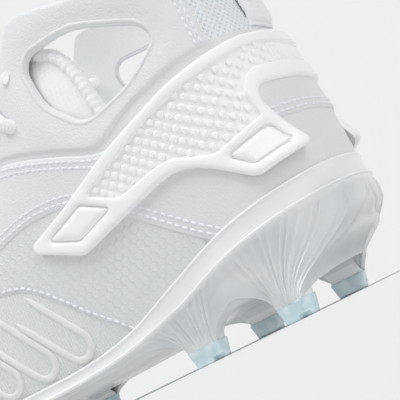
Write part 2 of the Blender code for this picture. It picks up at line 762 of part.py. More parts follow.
def tongue_spot(share, along, depth):
    """A point under the upper: share is 0 in the middle, 1 at the side edge, negative outwards."""
    start = smooth(TONGUE_OUTER_TOP if share < 0 else TONGUE_INNER_TOP, abs(share)) * MM
    station = start + (TONGUE_TOE_END - start) * along
    low = smooth(TONGUE_SIDE_Z, station / MM) * MM
    return over_last(station, share * way_from_ridge(station, low), -depth)


def make_tongue(knit):
    """The padded tongue under the throat, with wide sides that reach round to the ankle cut-outs."""
    rings = []
    for k in range(TONGUE_LENGTHS + 1):
        along = k / TONGUE_LENGTHS
        shares = [2 * n / TONGUE_ACROSS - 1 for n in range(TONGUE_ACROSS + 1)]
        rings.append([tongue_spot(share, along, TONGUE_GAP) for share in shares])
    tongue = new_object("tongue", loft_rings("tongue", rings, closed=False), knit)
    pad = tongue.modifiers.new("padding", "SOLIDIFY")
    pad.thickness = TONGUE_THICKNESS
    pad.offset = -1.0
    applied(tongue)
    shade_round(tongue)


def make_binding(knit):
    """The rolled edge along the tongue's top: it stands clear of the tongue's edge."""
    shares = [(2 * k / BINDING_POINTS - 1) * 0.97 for k in range(BINDING_POINTS + 1)]
    edges = [tongue_spot(share, 0.0, BINDING_DEPTH) for share in shares]
    points = []
    for k, (share, edge) in enumerate(zip(shares, edges)):
        run = (edges[min(k + 1, BINDING_POINTS)] - edges[max(k - 1, 0)]).normalized()
        back = edge - tongue_spot(share, 0.06, BINDING_DEPTH)
        back = (back - run * back.dot(run)).normalized()
        points.append(edge + back * (BINDING_RADIUS + 1.0 * MM))
    binding = new_object("tongue_binding", tube("tongue_binding", points, BINDING_RADIUS), knit)
    shade_round(binding)


def strap_flare(girth, z):
    """How far the strap's rear lower corners spring away from the heel."""
    down = ease((STRAP_FLARE_TOP - z) / STRAP_FLARE_REACH)
    near = ease((46 * MM - abs(girth)) / (24 * MM))
    return STRAP_FLARE * down * near


def make_strap(rubber):
    """The heel strap is cut flat, with pockets in its face, and then wrapped round the heel."""
    strap = prism("heel_strap", filleted(mirrored(STRAP_OUTLINE)), 0.0, STRAP_THICKNESS, group=PARTS)
    strap.data.materials.append(rubber)
    floor = STRAP_THICKNESS - STRAP_POCKET
    pockets = [("field", filleted(mirrored(STRAP_FIELD)))]
    for name, corners in (("front_window", STRAP_FRONT_WINDOW), ("rear_window", STRAP_REAR_WINDOW)):
        pockets.append((name + "_inner", filleted(corners)))
        pockets.append((name + "_outer", [Vector((-p.x, p.y)) for p in filleted(corners)]))
    for name, points in pockets:
        boolean(strap, prism("strap_" + name, points, floor, 2 * STRAP_THICKNESS), "DIFFERENCE")
    applied(strap)
    work = bmesh.new()
    work.from_mesh(strap.data)
    girths = [g for g in girth_columns() if g <= HEEL_ARC and (g < KNIT_EDGE or g > KNIT_EDGE + STEP_RUN)]
    girths += [g * MM for g in STRAP_CUT_GIRTHS]
    cuts = [((side * g, 0, 0), (1, 0, 0)) for g in girths for side in (-1, 1)]
    cuts += [((0, z * MM, 0), (0, 1, 0)) for z in STRAP_CUT_HEIGHTS]
    for place, normal in cuts:
        everything = work.verts[:] + work.edges[:] + work.faces[:]
        bmesh.ops.bisect_plane(work, geom=everything, dist=1e-6, plane_co=place, plane_no=normal)
    bmesh.ops.triangulate(work, faces=work.faces)
    for vert in work.verts:
        girth, z, high = vert.co
        vert.co, _ = on_last(girth, z, STRAP_SEAT + high + strap_flare(girth, z))
    strap.data = finish_mesh(work, "heel_strap")
    strap.data.materials.append(rubber)
    shade_round(strap)


def welt_loop(first):
    """Girth and height along one welt's loop, from one arm down round its turn and up the other arm."""
    lean = Vector((math.sin(WELT_LEAN), math.cos(WELT_LEAN)))
    across = Vector((lean.y, -lean.x))
    turn_middle = Vector((first, WELT_FOOT))
    path = []
    for k in range(WELT_ARM_STEPS):
        path.append(turn_middle + across * WELT_HALF + lean * WELT_LENGTH * (1 - k / WELT_ARM_STEPS))
    for k in range(WELT_TURN_STEPS + 1):
        turn = math.pi * k / WELT_TURN_STEPS
        path.append(turn_middle + (across * math.cos(turn) - lean * math.sin(turn)) * WELT_HALF)
    for k in range(1, WELT_ARM_STEPS + 1):
        path.append(turn_middle - across * WELT_HALF + lean * WELT_LENGTH * k / WELT_ARM_STEPS)
    return path


def make_welts(film):
    """Raised welts on the sides of the vamp: U-shaped bands that lie on the upper's wall."""
    for side, name in ((-1, "outer"), (1, "inner")):
        for k in range(WELT_COUNT):
            path = welt_loop(WELT_FIRST + k * WELT_PITCH)
            rings = []
            for n, spot in enumerate(path):
                ahead = path[min(n + 1, len(path) - 1)] - path[max(n - 1, 0)]
                across = Vector((ahead.y, -ahead.x)).normalized() * WELT_WIDTH / 2
                ring = []
                seat = QUARTER_WALL + 0.35 * MM
                for share, high in ((-1, 0.0), (1, 0.0), (0.6, WELT_HEIGHT), (-0.6, WELT_HEIGHT)):
                    girth, z = spot + across * share
                    ring.append(on_last(side * girth, z, seat + high)[0])
                rings.append(ring)
            welt = new_object(f"vamp_welt_{name}_{k + 1}", loft_rings("welt", rings, caps=True), film)
            shade_round(welt)


def lace_half(girth, z, side, station):
    """Points from an eyelet up to the ridge at a station, following the upper's round."""
    start = girth - HEEL_ARC + HEEL_AXIS
    way = side * way_from_ridge(start, z)
    points = []
    for share, drop in LACE_STEPS:
        at = start + (station - start) * share
        points.append(over_last(at, way * (1 - share), LACE_SEAT - drop * LACE_DROP))
    return points


def lace_crossing(low, high, side):
    """Points of a strand from an eyelet to the next one on the other side, the shortest way over."""
    a, _ = on_last(side * low[0], low[1], LACE_SEAT)
    b, _ = on_last(-side * high[0], high[1], LACE_SEAT)
    first = (low[0] + high[0]) / 2 - HEEL_ARC + HEEL_AXIS

    def detour(station):
        top = ridge_point(station, 0.0)
        return (top - a).length + (b - top).length

    station = min((first + k * MM for k in range(-4, 26)), key=detour)
    return lace_half(*low, side, station) + lace_half(*high, -side, station)[-2::-1]


def make_lace(cord):
    """Criss-cross lacing: two strands over the tongue, joined where they meet, and the bar below."""
    spots = eyelet_spots()
    strands = []
    for first in (-1, 1):
        points = []
        for row, (low, high) in enumerate(zip(spots, spots[1:])):
            side = first if row % 2 == 0 else -first
            points += lace_crossing(low, high, side)[1 if row else 0:]
        strands.append(tube("lace_strand", points, LACE_RADIUS))
    strands.append(tube("lace_bar", lace_crossing(spots[-1], spots[-1], -1), LACE_RADIUS))
    lace = new_object("lace", strands[0], cord)
    for k, strand in enumerate(strands[1:]):
        boolean(lace, new_object(f"lace_joined_{k}", strand, group=CUTTERS), "UNION")
    applied(lace)
    shade_round(lace)


def make_pull_tab(webbing):
    """Folded webbing on the back of the heel, standing a little above the collar."""
    rings = []
    seat = QUARTER_WALL + 0.5 * MM
    for k in range(TAB_ROWS + 1):
        z = TAB_FOOT + (TAB_TOP - TAB_FOOT) * k / TAB_ROWS
        loop = rounded_loop(TAB_WIDTH, TAB_THICKNESS, TAB_CORNER)
        bow = [seat + TAB_THICKNESS / 2 + p.y for p in loop]
        rings.append([on_last(p.x, z, high)[0] for p, high in zip(loop, bow)])
    tab = new_object("pull_tab", loft_rings("pull_tab", rings, caps=True), webbing)
    shade_round(tab)


def main():
    for item in list(bpy.data.objects):
        bpy.data.objects.remove(item)
    leather = material("white_leather", (0.83, 0.84, 0.86), 0.5)
    clear_plastic = material("frosted_plate", (0.80, 0.83, 0.85), 0.3, clear=0.4)
    ice_plastic = material("ice_tips", (0.55, 0.73, 0.82), 0.25, clear=0.4)
    rubber = material("strap_rubber", (0.88, 0.88, 0.87), 0.4)
    knit = material("white_knit", (0.82, 0.85, 0.87), 0.8)
    film = material("welt_film", (0.80, 0.83, 0.83), 0.4)
    foam = material("insole_foam", (0.78, 0.80, 0.82), 0.9)
    cord = material("lace_cord", (0.86, 0.87, 0.88), 0.8)
    webbing = material("tab_webbing", (0.82, 0.85, 0.88), 0.7)
    make_upper(leather)
    make_outsole(clear_plastic)
    make_tips(ice_plastic)
    make_insole(foam)
    make_tongue(knit)
    make_binding(knit)
    make_strap(rubber)
    make_welts(film)
    make_lace(cord)
    make_pull_tab(webbing)


main()
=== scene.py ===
# %% [markdown]
# # A lacrosse cleat, dressed for its picture
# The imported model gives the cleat's frame: where every piece is and how big it is.
# This lesson puts the looks on it, piece by piece: plate and studs first, then the upper,
# the strap, the soft pieces inside, the lacing and all the stitches.

# %% Frame
import functools
import math

import bpy
from mathutils import Matrix, Vector, kdtree
from mathutils.geometry import delaunay_2d_cdt


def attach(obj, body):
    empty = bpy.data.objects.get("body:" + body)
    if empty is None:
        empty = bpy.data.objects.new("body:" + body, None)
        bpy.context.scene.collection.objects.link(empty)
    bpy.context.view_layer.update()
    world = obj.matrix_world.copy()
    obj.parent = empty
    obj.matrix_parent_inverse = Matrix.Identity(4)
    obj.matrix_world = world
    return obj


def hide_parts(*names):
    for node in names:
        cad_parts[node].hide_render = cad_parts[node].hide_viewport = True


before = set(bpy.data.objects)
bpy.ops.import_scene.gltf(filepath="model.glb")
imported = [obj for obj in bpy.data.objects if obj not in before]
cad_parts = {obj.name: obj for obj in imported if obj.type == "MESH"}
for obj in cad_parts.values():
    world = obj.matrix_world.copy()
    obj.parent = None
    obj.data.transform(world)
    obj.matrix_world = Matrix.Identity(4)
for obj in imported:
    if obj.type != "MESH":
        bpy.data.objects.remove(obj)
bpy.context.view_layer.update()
scene = bpy.context.scene
MM = 0.001
print("frame:", len(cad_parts), "solids")

# %% [markdown]
# ## Camera
# The picture is taken from close by and very low, looking up at the heel, with the camera rolled.
# A near camera makes the strong taper of the picture, so its place is set first and the lens follows.
# It stands just above the floor, because a camera below the floor would see nothing but the floor.

# %% Camera
EYE = Vector((0.2504, -0.2813, 0.0015))
AIM = Vector((0.0999, -0.0218, 0.0512))
ROLL = math.radians(-26.2)
LENS = 80

bpy.ops.object.select_all(action="DESELECT")
bpy.ops.object.camera_add(location=EYE)
camera = bpy.context.object
ahead = (AIM - EYE).normalized()
level = ahead.cross(Vector((0, 0, 1))).normalized()
upright = level.cross(ahead)
right = level * math.cos(ROLL) + upright * math.sin(ROLL)
top = upright * math.cos(ROLL) - level * math.sin(ROLL)
camera.matrix_world = Matrix.Translation(EYE) @ Matrix((right, top, -ahead)).transposed().to_4x4()
camera.data.lens = LENS
camera.data.clip_start = 0.01
scene.camera = camera
print("camera", round((AIM - EYE).length, 3), "m from the heel")

# %% [markdown]
# ## Light and floor
# The cleat is white on white, so the light does the drawing: a bright backdrop, a dimmer room behind
# the camera, a wide soft light from above on the toe's side, one from above the heel and a weak low one on
# the heel's flank. These three are distant lights, so the floor is lit as evenly far away as it is near, and
# a pale disc of the backdrop's tone shows no horizon. Real plastic and mesh let light through. A weak panel
# under the plate and a small lamp inside the shoe stand in for that, and the camera doesn't see these two.

# %% Light and floor
scene.view_settings.view_transform = "Standard"
world = bpy.data.worlds.new("studio")
scene.world = world
world.use_nodes = True
surround = world.node_tree.nodes["Background"]


def lamp(name, place, spread, strength):
    """A distant light that shines from a place towards the origin."""
    bpy.ops.object.light_add(type="SUN", location=place)
    made = bpy.context.object
    made.name = name
    made.data.angle = math.radians(spread)
    made.data.energy = strength
    made.rotation_euler = (-Vector(place)).to_track_quat("-Z", "Y").to_euler()
    return made


def hidden_lamp(kind, name, place, strength, turn=0.0):
    """A near light that the camera doesn't see."""
    bpy.ops.object.light_add(type=kind, location=place, rotation=(turn, 0.0, 0.0))
    made = bpy.context.object
    made.name = name
    made.data.energy = strength
    made.visible_camera = False
    return made


lamps = [
    lamp("key", (-0.33, -0.38, 0.97), 34, 1.55),
    lamp("rim", (0.85, -0.40, 0.07), 30, 0.25),
    lamp("back", (0.64, -0.26, 0.72), 40, 0.85),
]
glow = hidden_lamp("AREA", "glow", (0.0, 0.0, 0.6 * MM), 0.016, math.pi)
glow.data.shape = "RECTANGLE"
glow.data.size = 0.26
glow.data.size_y = 0.075
inner_light = hidden_lamp("POINT", "inner_light", (0.085, -0.005, 0.080), 0.02)
inner_light.data.shadow_soft_size = 0.015
lamps += [glow, inner_light]

FLOOR_RADIUS = 4.0
bpy.ops.mesh.primitive_circle_add(vertices=96, radius=FLOOR_RADIUS, fill_type="NGON")
floor = bpy.context.object
floor.name = "floor"
print(len(lamps), "lamps and a floor")

# %% [markdown]
# ## Helpers for modelling
# Most pieces of a shoe are cut flat and then bent over the last, the foot-shaped form it is built on.
# So most pieces here start as a flat net (Blender's grid) whose points are then laid where they belong.


# %% Modelling helpers
def only(piece):
    """Selects one piece and makes it the active one."""
    bpy.ops.object.select_all(action="DESELECT")
    piece.select_set(True)
    bpy.context.view_layer.objects.active = piece


def edit(piece, *steps):
    """Runs edit-mode steps on all of a piece. A step is an operator, or an operator and its settings."""
    only(piece)
    bpy.ops.object.mode_set(mode="EDIT")
    bpy.ops.mesh.select_mode(type="VERT")
    bpy.ops.mesh.select_all(action="SELECT")
    for step in steps:
        operator, settings = step if isinstance(step, tuple) else (step, {})
        operator(**settings)
    bpy.ops.object.mode_set(mode="OBJECT")


WELD_GAP = 2e-6
OUTWARDS = (bpy.ops.mesh.normals_make_consistent, {"inside": False})
MERGED = (bpy.ops.mesh.remove_doubles, {"threshold": WELD_GAP})


def weld(piece):
    """Merges points that lie together and points the faces outwards."""
    edit(piece, MERGED, OUTWARDS)


def capped(piece):
    """Closes a tube: merges its seam and fills both ends."""
    edit(piece, MERGED, (bpy.ops.mesh.fill_holes, {"sides": 60}), OUTWARDS)


def facing(piece, way):
    """Turns the faces of an open sheet to a direction."""
    edit(piece, OUTWARDS)
    if sum(face.normal.dot(Vector(way)) for face in piece.data.polygons) < 0:
        edit(piece, bpy.ops.mesh.flip_normals)


def net(name, across, along, place):
    """A grid whose points go to place(u, v), u and v running from 0 to 1. Its UV map keeps u and v."""
    bpy.ops.object.select_all(action="DESELECT")
    bpy.ops.mesh.primitive_grid_add(x_subdivisions=across, y_subdivisions=along, size=2)
    piece = bpy.context.object
    piece.name = piece.data.name = name
    for vert in piece.data.vertices:
        u = round((vert.co.x + 1) / 2 * across) / across
        v = round((vert.co.y + 1) / 2 * along) / along
        vert.co = place(u, v)
    return piece


def modified(piece, kind, **settings):
    """Adds a modifier and applies it."""
    only(piece)
    tool = piece.modifiers.new(kind.lower(), kind)
    for name, value in settings.items():
        setattr(tool, name, value)
    bpy.ops.object.modifier_apply(modifier=tool.name)


def smoothed(piece, angle=45):
    """Shades a piece smooth, with its sharper edges kept."""
    only(piece)
    bpy.ops.object.shade_smooth_by_angle(angle=math.radians(angle))


def joined(pieces, name):
    """Joins pieces into the first one."""
    only(pieces[0])
    for piece in pieces[1:]:
        piece.select_set(True)
    if len(pieces) > 1:
        bpy.ops.object.join()
    pieces[0].name = pieces[0].data.name = name
    return pieces[0]


def dressed(piece, finish, slot, *nodes):
    """Gives a finished piece its material and its body, and hides the solids that it stands for. Its slot is
    not used.
    """
    if finish:
        piece.data.materials.clear()
        piece.data.materials.append(finish)
    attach(piece, "root")
    if nodes:
        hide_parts(*nodes)
    print(piece.name, len(piece.data.polygons), "faces")


print("helpers weld within", WELD_GAP, "m")

# %% [markdown]
# ## The last
# A shoe takes its shape from the last. Here it is a table of sections along the foot, with a rounded arch
# over each one. A place on it is a girth, the way round from the back of the heel (negative on the outer
# side), and a height. The numbers are the ones that the solids were built from.

# %% The last
HEEL_BACK_X = 143.8 * MM
HEEL_MIDDLE_Y = -0.4 * MM
LAST_LENGTH = 288 * MM
HEEL_AXIS = 34 * MM
TOE_AXIS = 238 * MM
HEEL_ARC = 54 * MM
TOE_ARC = 76 * MM
MID_LENGTH = TOE_AXIS - HEEL_AXIS
GIRTH_END = HEEL_ARC + MID_LENGTH + TOE_ARC
LAST_COLUMNS = ("station", "middle", "half", "crest", "ridge", "bed", "wall", "under")
LAST_ROWS = (
    (0, 0.0, 30.0, 0.0, 190, 20.5, 42.5, 14.5),
    (34, 0.0, 33.5, 0.0, 190, 19.8, 36.2, 13.6),
    (60, -0.8, 34.0, 0.5, 182, 18.2, 28.3, 12.2),
    (78, -1.8, 33.5, 1.4, 169, 16.8, 22.6, 11.2),
    (92, -2.6, 33.5, 2.4, 153, 15.6, 19.8, 10.2),
    (108, -3.2, 34.5, 3.4, 130, 14.4, 18.3, 9.6),
    (128, -3.2, 37.0, 4.0, 109, 13.6, 18.2, 9.2),
    (155, -2.2, 42.0, 3.6, 91, 13.0, 18.2, 9.0),
    (185, -0.6, 46.0, 2.4, 78, 12.8, 18.8, 9.0),
    (212, 1.6, 45.5, 1.0, 68, 13.8, 20.8, 9.8),
    (238, 3.6, 40.0, 0.0, 60, 16.4, 24.0, 12.2),
    (265, 4.5, 30.0, 0.0, 52, 21.0, 29.6, 16.4),
    (292, 5.5, 10.0, 0.0, 40, 27.0, 36.6, 22.0),
)
BELLY_RISE = ((0, 28), (34, 28), (92, 26), (155, 18), (212, 15), (292, 12))
HEEL_CURVE = ((14, -3.0), (24, -1.6), (44, 0.0), (62, -0.6), (84, -3.0), (106, -5.0), (130, -5.0))
FEATHER_TUCK = 0.05
ARCH_POWER = 2.5
HEEL_ROUND = 2.15
TOE_ROUND = 1.95
BELLY_STEPS = 6
ARCH_STEPS = 60


def curve(rows, at):
    """A cubic Hermite curve through (place, value) rows, level past both ends."""
    if at <= rows[0][0]:
        return rows[0][1]
    if at >= rows[-1][0]:
        return rows[-1][1]
    k = next(i for i in range(len(rows) - 1) if at <= rows[i + 1][0])

    def slope(i):
        low, high = rows[max(i - 1, 0)], rows[min(i + 1, len(rows) - 1)]
        return (high[1] - low[1]) / (high[0] - low[0])

    span = rows[k + 1][0] - rows[k][0]
    t = (at - rows[k][0]) / span
    rise = t * t * (3 - 2 * t)
    ends = rows[k][1] * (1 - rise) + rows[k + 1][1] * rise
    return ends + span * t * (1 - t) * (slope(k) * (1 - t) - slope(k + 1) * t)


LAST_TABLES = {name: [(row[0], row[k]) for row in LAST_ROWS] for k, name in enumerate(LAST_COLUMNS)}


@functools.lru_cache(maxsize=None)
def last(name, station):
    """One measure of the last at a place along the foot."""
    return curve(LAST_TABLES[name], station / MM) * MM


def ease(t):
    """0 to 1, slow at both ends."""
    t = min(max(t, 0.0), 1.0)
    return t * t * (3 - 2 * t)


def round_reach(across, along, turn, power):
    """Radius of a rounded end whose half axes are across and along."""
    return ((math.cos(turn) / along) ** power + (math.sin(turn) / across) ** power) ** (-1 / power)


class LastPlane:
    """An upright plane through the last: it turns round the heel, walks forward and turns round the toe."""

    def __init__(self, girth, side):
        self.heel = 0.0
        if girth < HEEL_ARC:
            turn = girth / HEEL_ARC * math.pi / 2
            self.station = HEEL_AXIS
            self.out = (-math.cos(turn), side * math.sin(turn))
            self.reach = round_reach(last("half", HEEL_AXIS), HEEL_AXIS, turn, HEEL_ROUND)
            self.heel = math.cos(turn) ** 2
        elif girth <= HEEL_ARC + MID_LENGTH:
            self.station = HEEL_AXIS + girth - HEEL_ARC
            self.out = (0.0, side)
            self.reach = last("half", self.station)
        else:
            turn = min((girth - HEEL_ARC - MID_LENGTH) / TOE_ARC, 1.0) * math.pi / 2
            self.station = TOE_AXIS
            self.out = (math.sin(turn), side * math.cos(turn))
            toe = LAST_LENGTH - TOE_AXIS
            self.reach = round_reach(last("half", TOE_AXIS), toe, math.pi / 2 - turn, TOE_ROUND)
        self.middle = last("middle", self.station)
        self.foot = self.station + self.out[0] * self.reach
        self.bed = last("bed", self.foot)
        self.belly = self.bed + curve(BELLY_RISE, self.foot / MM) * MM
        self.ridge = last("ridge", self.station)
        self.crest = last("crest", self.station)

    def width(self, z):
        """Distance of the last's side from the middle line at a height."""
        if z < self.belly:
            low = (self.belly - z) / (self.belly - self.bed)
            wide = self.reach * (1 - FEATHER_TUCK * low * low)
        else:
            rise = min((z - self.belly) / (self.ridge - self.belly), 1.0)
            turn = math.asin(rise ** (ARCH_POWER / 2))
            wide = self.reach * math.cos(turn) ** (2 / ARCH_POWER)
        return wide + self.heel * curve(HEEL_CURVE, z / MM) * MM

    def place(self, wide, z):
        """The point of this plane at a distance from the middle line and a height."""
        rise = max(z - self.belly, 0.0) / (self.ridge - self.belly)
        return Vector((
            HEEL_BACK_X - self.station - self.out[0] * wide,
            HEEL_MIDDLE_Y + self.middle + self.out[1] * wide + self.crest * rise * rise,
            z,
        ))

    def outward(self):
        """The level direction of this plane."""
        return Vector((-self.out[0], self.out[1], 0.0))

    def outline(self):
        """(distance, height) pairs of the section, from the bed up to the ridge."""
        step = (self.belly - self.bed) / BELLY_STEPS
        heights = [self.bed + k * step for k in range(BELLY_STEPS)]
        points = [(self.width(z), z) for z in heights]
        for k in range(ARCH_STEPS + 1):
            turn = k / ARCH_STEPS * math.pi / 2
            z = self.belly + (self.ridge - self.belly) * math.sin(turn) ** (2 / ARCH_POWER)
            bend = self.heel * curve(HEEL_CURVE, z / MM) * MM
            points.append((self.reach * max(math.cos(turn), 0.0) ** (2 / ARCH_POWER) + bend, z))
        return points


@functools.lru_cache(maxsize=20000)
def plane_at(girth, side):
    """The plane at a girth, made once."""
    return LastPlane(girth, side)


@functools.lru_cache(maxsize=200000)
def last_point(girth, z):
    """The point of the last's surface at a girth and a height."""
    plane = plane_at(abs(girth), -1 if girth < 0 else 1)
    return plane.place(plane.width(z), z)


def on_last(girth, z, off):
    """A point off the last's surface, with the surface's normal there."""
    girth, z = round(girth, 6), round(z, 6)
    nudge = 0.2 * MM
    along = last_point(round(girth + nudge, 6), z) - last_point(round(girth - nudge, 6), z)
    rise = last_point(girth, round(z + nudge, 6)) - last_point(girth, round(z - nudge, 6))
    normal = along.cross(rise).normalized()
    return last_point(girth, z) + normal * off, normal


print("the last is", round(LAST_LENGTH / MM), "mm long and", round(2 * GIRTH_END / MM), "mm round")

# %% [markdown]
# ## Sections of the upper
# The upper stops at the collar line round the ankle, at the throat's edge over the instep, and on the ridge
# in front of the throat. Lengths along a section then tell where the edge of the padded ankle wing runs.

# %% Sections of the upper
QUARTER_WALL = 2.2 * MM
WING_WALL = 3.2 * MM
GAP = 0.45 * MM
COLLAR_LINE = ((0, 121), (20, 122.5), (40, 126), (54, 129.5), (72, 136.3), (84, 141), (92, 144.3),
               (98, 146.4), (103, 147.2), (107, 146.2), (110, 143.4), (113, 139), (118, 130))
COLLAR_FRONT = 118 * MM
THROAT_HALF = ((80, 19), (95, 20), (102, 22), (112, 20.5), (126, 17.5), (146, 14.5), (166, 12.5))
THROAT_END = 182 * MM
THROAT_ROUND = 14 * MM
EYESTAY_WIDTH = 20 * MM
EYESTAY_END = 198 * MM
WING_LINE = ((0, 93), (31, 93), (44, 91.8), (54, 90.4), (64, 88.8), (72, 86.2), (78, 84), (84, 83.4),
             (90, 85.8), (96, 88.8), (108, 94.3), (122, 99.6), (136, 102.5))
EDGE_TURN_FROM = 124
EDGE_TURN_OVER = 22
KNIT_EDGE = 30 * MM


def throat_half(station):
    """Half of the throat's width: it narrows forward and ends in a round."""
    half = curve(THROAT_HALF, station / MM) * MM
    into = (station - THROAT_END + THROAT_ROUND) / THROAT_ROUND
    return half * math.sqrt(max(1 - max(into, 0.0) ** 2, 0.0))


def cut_outline(points, past):
    """The outline up to where past first holds."""
    kept = [points[0]]
    for before, after in zip(points, points[1:]):
        if past(*after):
            low, high = 0.0, 1.0
            for _ in range(30):
                t = (low + high) / 2
                point = [a + (b - a) * t for a, b in zip(before, after)]
                low, high = (low, t) if past(*point) else (t, high)
            return kept + [tuple(point)]
        kept.append(after)
    return kept


def lengths_along(points):
    """Lengths along an outline, up to each of its points."""
    far = [0.0]
    for (w0, z0), (w1, z1) in zip(points, points[1:]):
        far.append(far[-1] + math.hypot(w1 - w0, z1 - z0))
    return far


def point_along(points, far, length):
    """The (distance, height) pair at a length along an outline."""
    length = min(max(length, 0.0), far[-1])
    k = next(i for i in range(len(far) - 1) if length <= far[i + 1] or i == len(far) - 2)
    t = (length - far[k]) / (far[k + 1] - far[k])
    return tuple(a + (b - a) * t for a, b in zip(points[k], points[k + 1]))


@functools.lru_cache(maxsize=5000)
def section(girth, side):
    """The upper's section: its plane, points and lengths, and the length at which the wing's edge runs."""
    plane = plane_at(girth, side)
    points = plane.outline()
    if girth < COLLAR_FRONT:
        collar = curve(COLLAR_LINE, girth / MM) * MM
        points = cut_outline(points, lambda wide, z: z >= collar)
    if HEEL_ARC < girth and plane.station < THROAT_END and plane.out[0] == 0:
        half = throat_half(plane.station)
        points = cut_outline(points, lambda wide, z: wide <= half and z > plane.belly)
    far = lengths_along(points)
    by_height = curve(WING_LINE, girth / MM) * MM
    hung = far[-1]
    for k in range(1, len(points)):
        if points[k][1] >= by_height:
            share = (by_height - points[k - 1][1]) / (points[k][1] - points[k - 1][1])
            hung = far[k - 1] + share * (far[k] - far[k - 1])
            break
    width = EYESTAY_WIDTH
    if plane.station > THROAT_END:
        to_end = min((plane.station - THROAT_END) / (EYESTAY_END - THROAT_END), 1.0)
        width = EYESTAY_WIDTH * math.sqrt(1 - to_end * to_end)
    mix = ease((girth / MM - EDGE_TURN_FROM) / EDGE_TURN_OVER)
    edge = hung * (1 - mix) + (far[-1] - width) * mix
    return plane, points, far, min(max(edge, 0.3 * far[-1]), far[-1] - 3 * MM)


print("collar", round(section(84 * MM, -1)[1][-1][1] / MM, 1), "mm up at the ankle")

# %% [markdown]
# ## Shader maths
# A material's pattern is a sum of waves and noises. Writing it with nodes one at a time is long, so one
# small class wraps a node's output: arithmetic on it adds Math nodes, and its node method adds any other.


# %% Shader maths
class Knob:
    """One output of a material's nodes."""

    def __init__(self, tree, socket=None):
        self.tree = tree
        self.socket = socket

    def node(self, kind, settings=None, values=None, out=0):
        """Adds a node: its settings are set first, then its sockets are given values or links."""
        made = self.tree.nodes.new(kind)
        for name, value in (settings or {}).items():
            setattr(made, name, value)
        for name, value in (values or {}).items():
            if isinstance(value, Knob):
                self.tree.links.new(value.socket, made.inputs[name])
            else:
                made.inputs[name].default_value = value
        return Knob(self.tree, made.outputs[out])

    def math(self, operation, *values):
        """Adds a Math node."""
        return self.node("ShaderNodeMath", {"operation": operation}, dict(enumerate(values)))

    def __add__(self, other):
        return self.math("ADD", self, other)

    __radd__ = __add__

    def __sub__(self, other):
        return self.math("SUBTRACT", self, other)

    def __rsub__(self, other):
        return self.math("SUBTRACT", other, self)

    def __mul__(self, other):
        return self.math("MULTIPLY", self, other)

    __rmul__ = __mul__

    def sine(self):
        return self.math("SINE", self)

    def clip(self):
        return self.node("ShaderNodeClamp", None, {"Value": self})

    def step(self, low, high):
        """0 below low, 1 above high, smooth between."""
        return self.node("ShaderNodeMapRange", {"interpolation_type": "SMOOTHSTEP"},
                         {"Value": self, "From Min": low, "From Max": high})

    def blend(self, a, b):
        """A colour between a and b, with this as the factor."""
        return self.node("ShaderNodeMix", {"data_type": "RGBA"}, {0: self, 6: a, 7: b}, out=2)

    def noise(self, place, scale, detail=2.0):
        return self.node("ShaderNodeTexNoise", None, {"Vector": place, "Scale": scale, "Detail": detail})

    def cells(self, place, scale, feature="F1", random=1.0):
        return self.node("ShaderNodeTexVoronoi", {"feature": feature},
                         {"Vector": place, "Scale": scale, "Randomness": random})

    def part(self, axis):
        """One number of a place."""
        return self.node("ShaderNodeSeparateXYZ", None, {0: self}, out=axis)

    def object_place(self):
        """The place on the piece, in metres."""
        return self.node("ShaderNodeTexCoord", out=3)

    def flat_place(self):
        """The two numbers of the piece's own UV map."""
        place = self.node("ShaderNodeTexCoord", out=2)
        return place.part(0), place.part(1)


def rgb(r, g, b):
    """A colour for a socket."""
    return (r, g, b, 1.0)


def finish(name, draw, **constants):
    """A material: draw(knob) gives colour, roughness, and a height with its depth in mm."""
    made = bpy.data.materials.new(name)
    made.use_nodes = True
    tree = made.node_tree
    shader = tree.nodes["Principled BSDF"]
    for socket, value in constants.items():
        shader.inputs[socket.replace("_", " ")].default_value = value
    colour, rough, height, depth = draw(Knob(tree))
    for socket, value in (("Base Color", colour), ("Roughness", rough)):
        if isinstance(value, Knob):
            tree.links.new(value.socket, shader.inputs[socket])
        else:
            shader.inputs[socket].default_value = value
    if height is not None:
        relief = {"Strength": 1.0, "Distance": depth * MM, "Height": height}
        bump = height.node("ShaderNodeBump", None, relief)
        tree.links.new(bump.socket, shader.inputs["Normal"])
    return made


print("shader maths ready")

# %% [markdown]
# ## Backdrop
# In a studio the paper behind the shoe is bright and the room in front of it is dim. One colour all round
# would light the shoe flat, so the world's colour goes from dim to bright with the direction.

# %% Backdrop
BACKDROP_WAY = (-0.5, 0.86, 0.1)
ROOM_TONE = rgb(0.41, 0.415, 0.42)
PAPER_TONE = rgb(0.855, 0.86, 0.86)

knob = Knob(world.node_tree)
looking = knob.node("ShaderNodeTexCoord")
toward = knob.node("ShaderNodeVectorMath", {"operation": "DOT_PRODUCT"},
                   {0: looking, 1: BACKDROP_WAY}, out=1)
tone = toward.step(0.0, 0.8).blend(ROOM_TONE, PAPER_TONE)
world.node_tree.links.new(tone.socket, surround.inputs["Color"])
print("backdrop of", len(world.node_tree.nodes), "nodes")

# %% [markdown]
# ## Finishes
# Each material of the cleat has its own small-scale detail: pebbled leather, scaled film, moulded rubber,
# milky plastic, knits and webbings. Pictures could carry it, but noises, cells and waves stay sharp from
# close by and need no files. Their scales count from metres, because the pieces are modelled in metres.


# %% Leather and lining
def draw_leather(knob):
    place = knob.object_place()
    pebbles = knob.cells(place, 1450.0, "SMOOTH_F1")
    creases = knob.noise(place, 260.0, 3.0)
    tone = knob.noise(place, 28.0, 2.0)
    height = (1 - pebbles) + creases * 0.1
    shade = (tone * 0.7 + pebbles * 0.3).clip()
    colour = shade.blend(rgb(0.79, 0.80, 0.81), rgb(0.735, 0.75, 0.765))
    return colour, 0.42 + pebbles * 0.16, height, 0.14


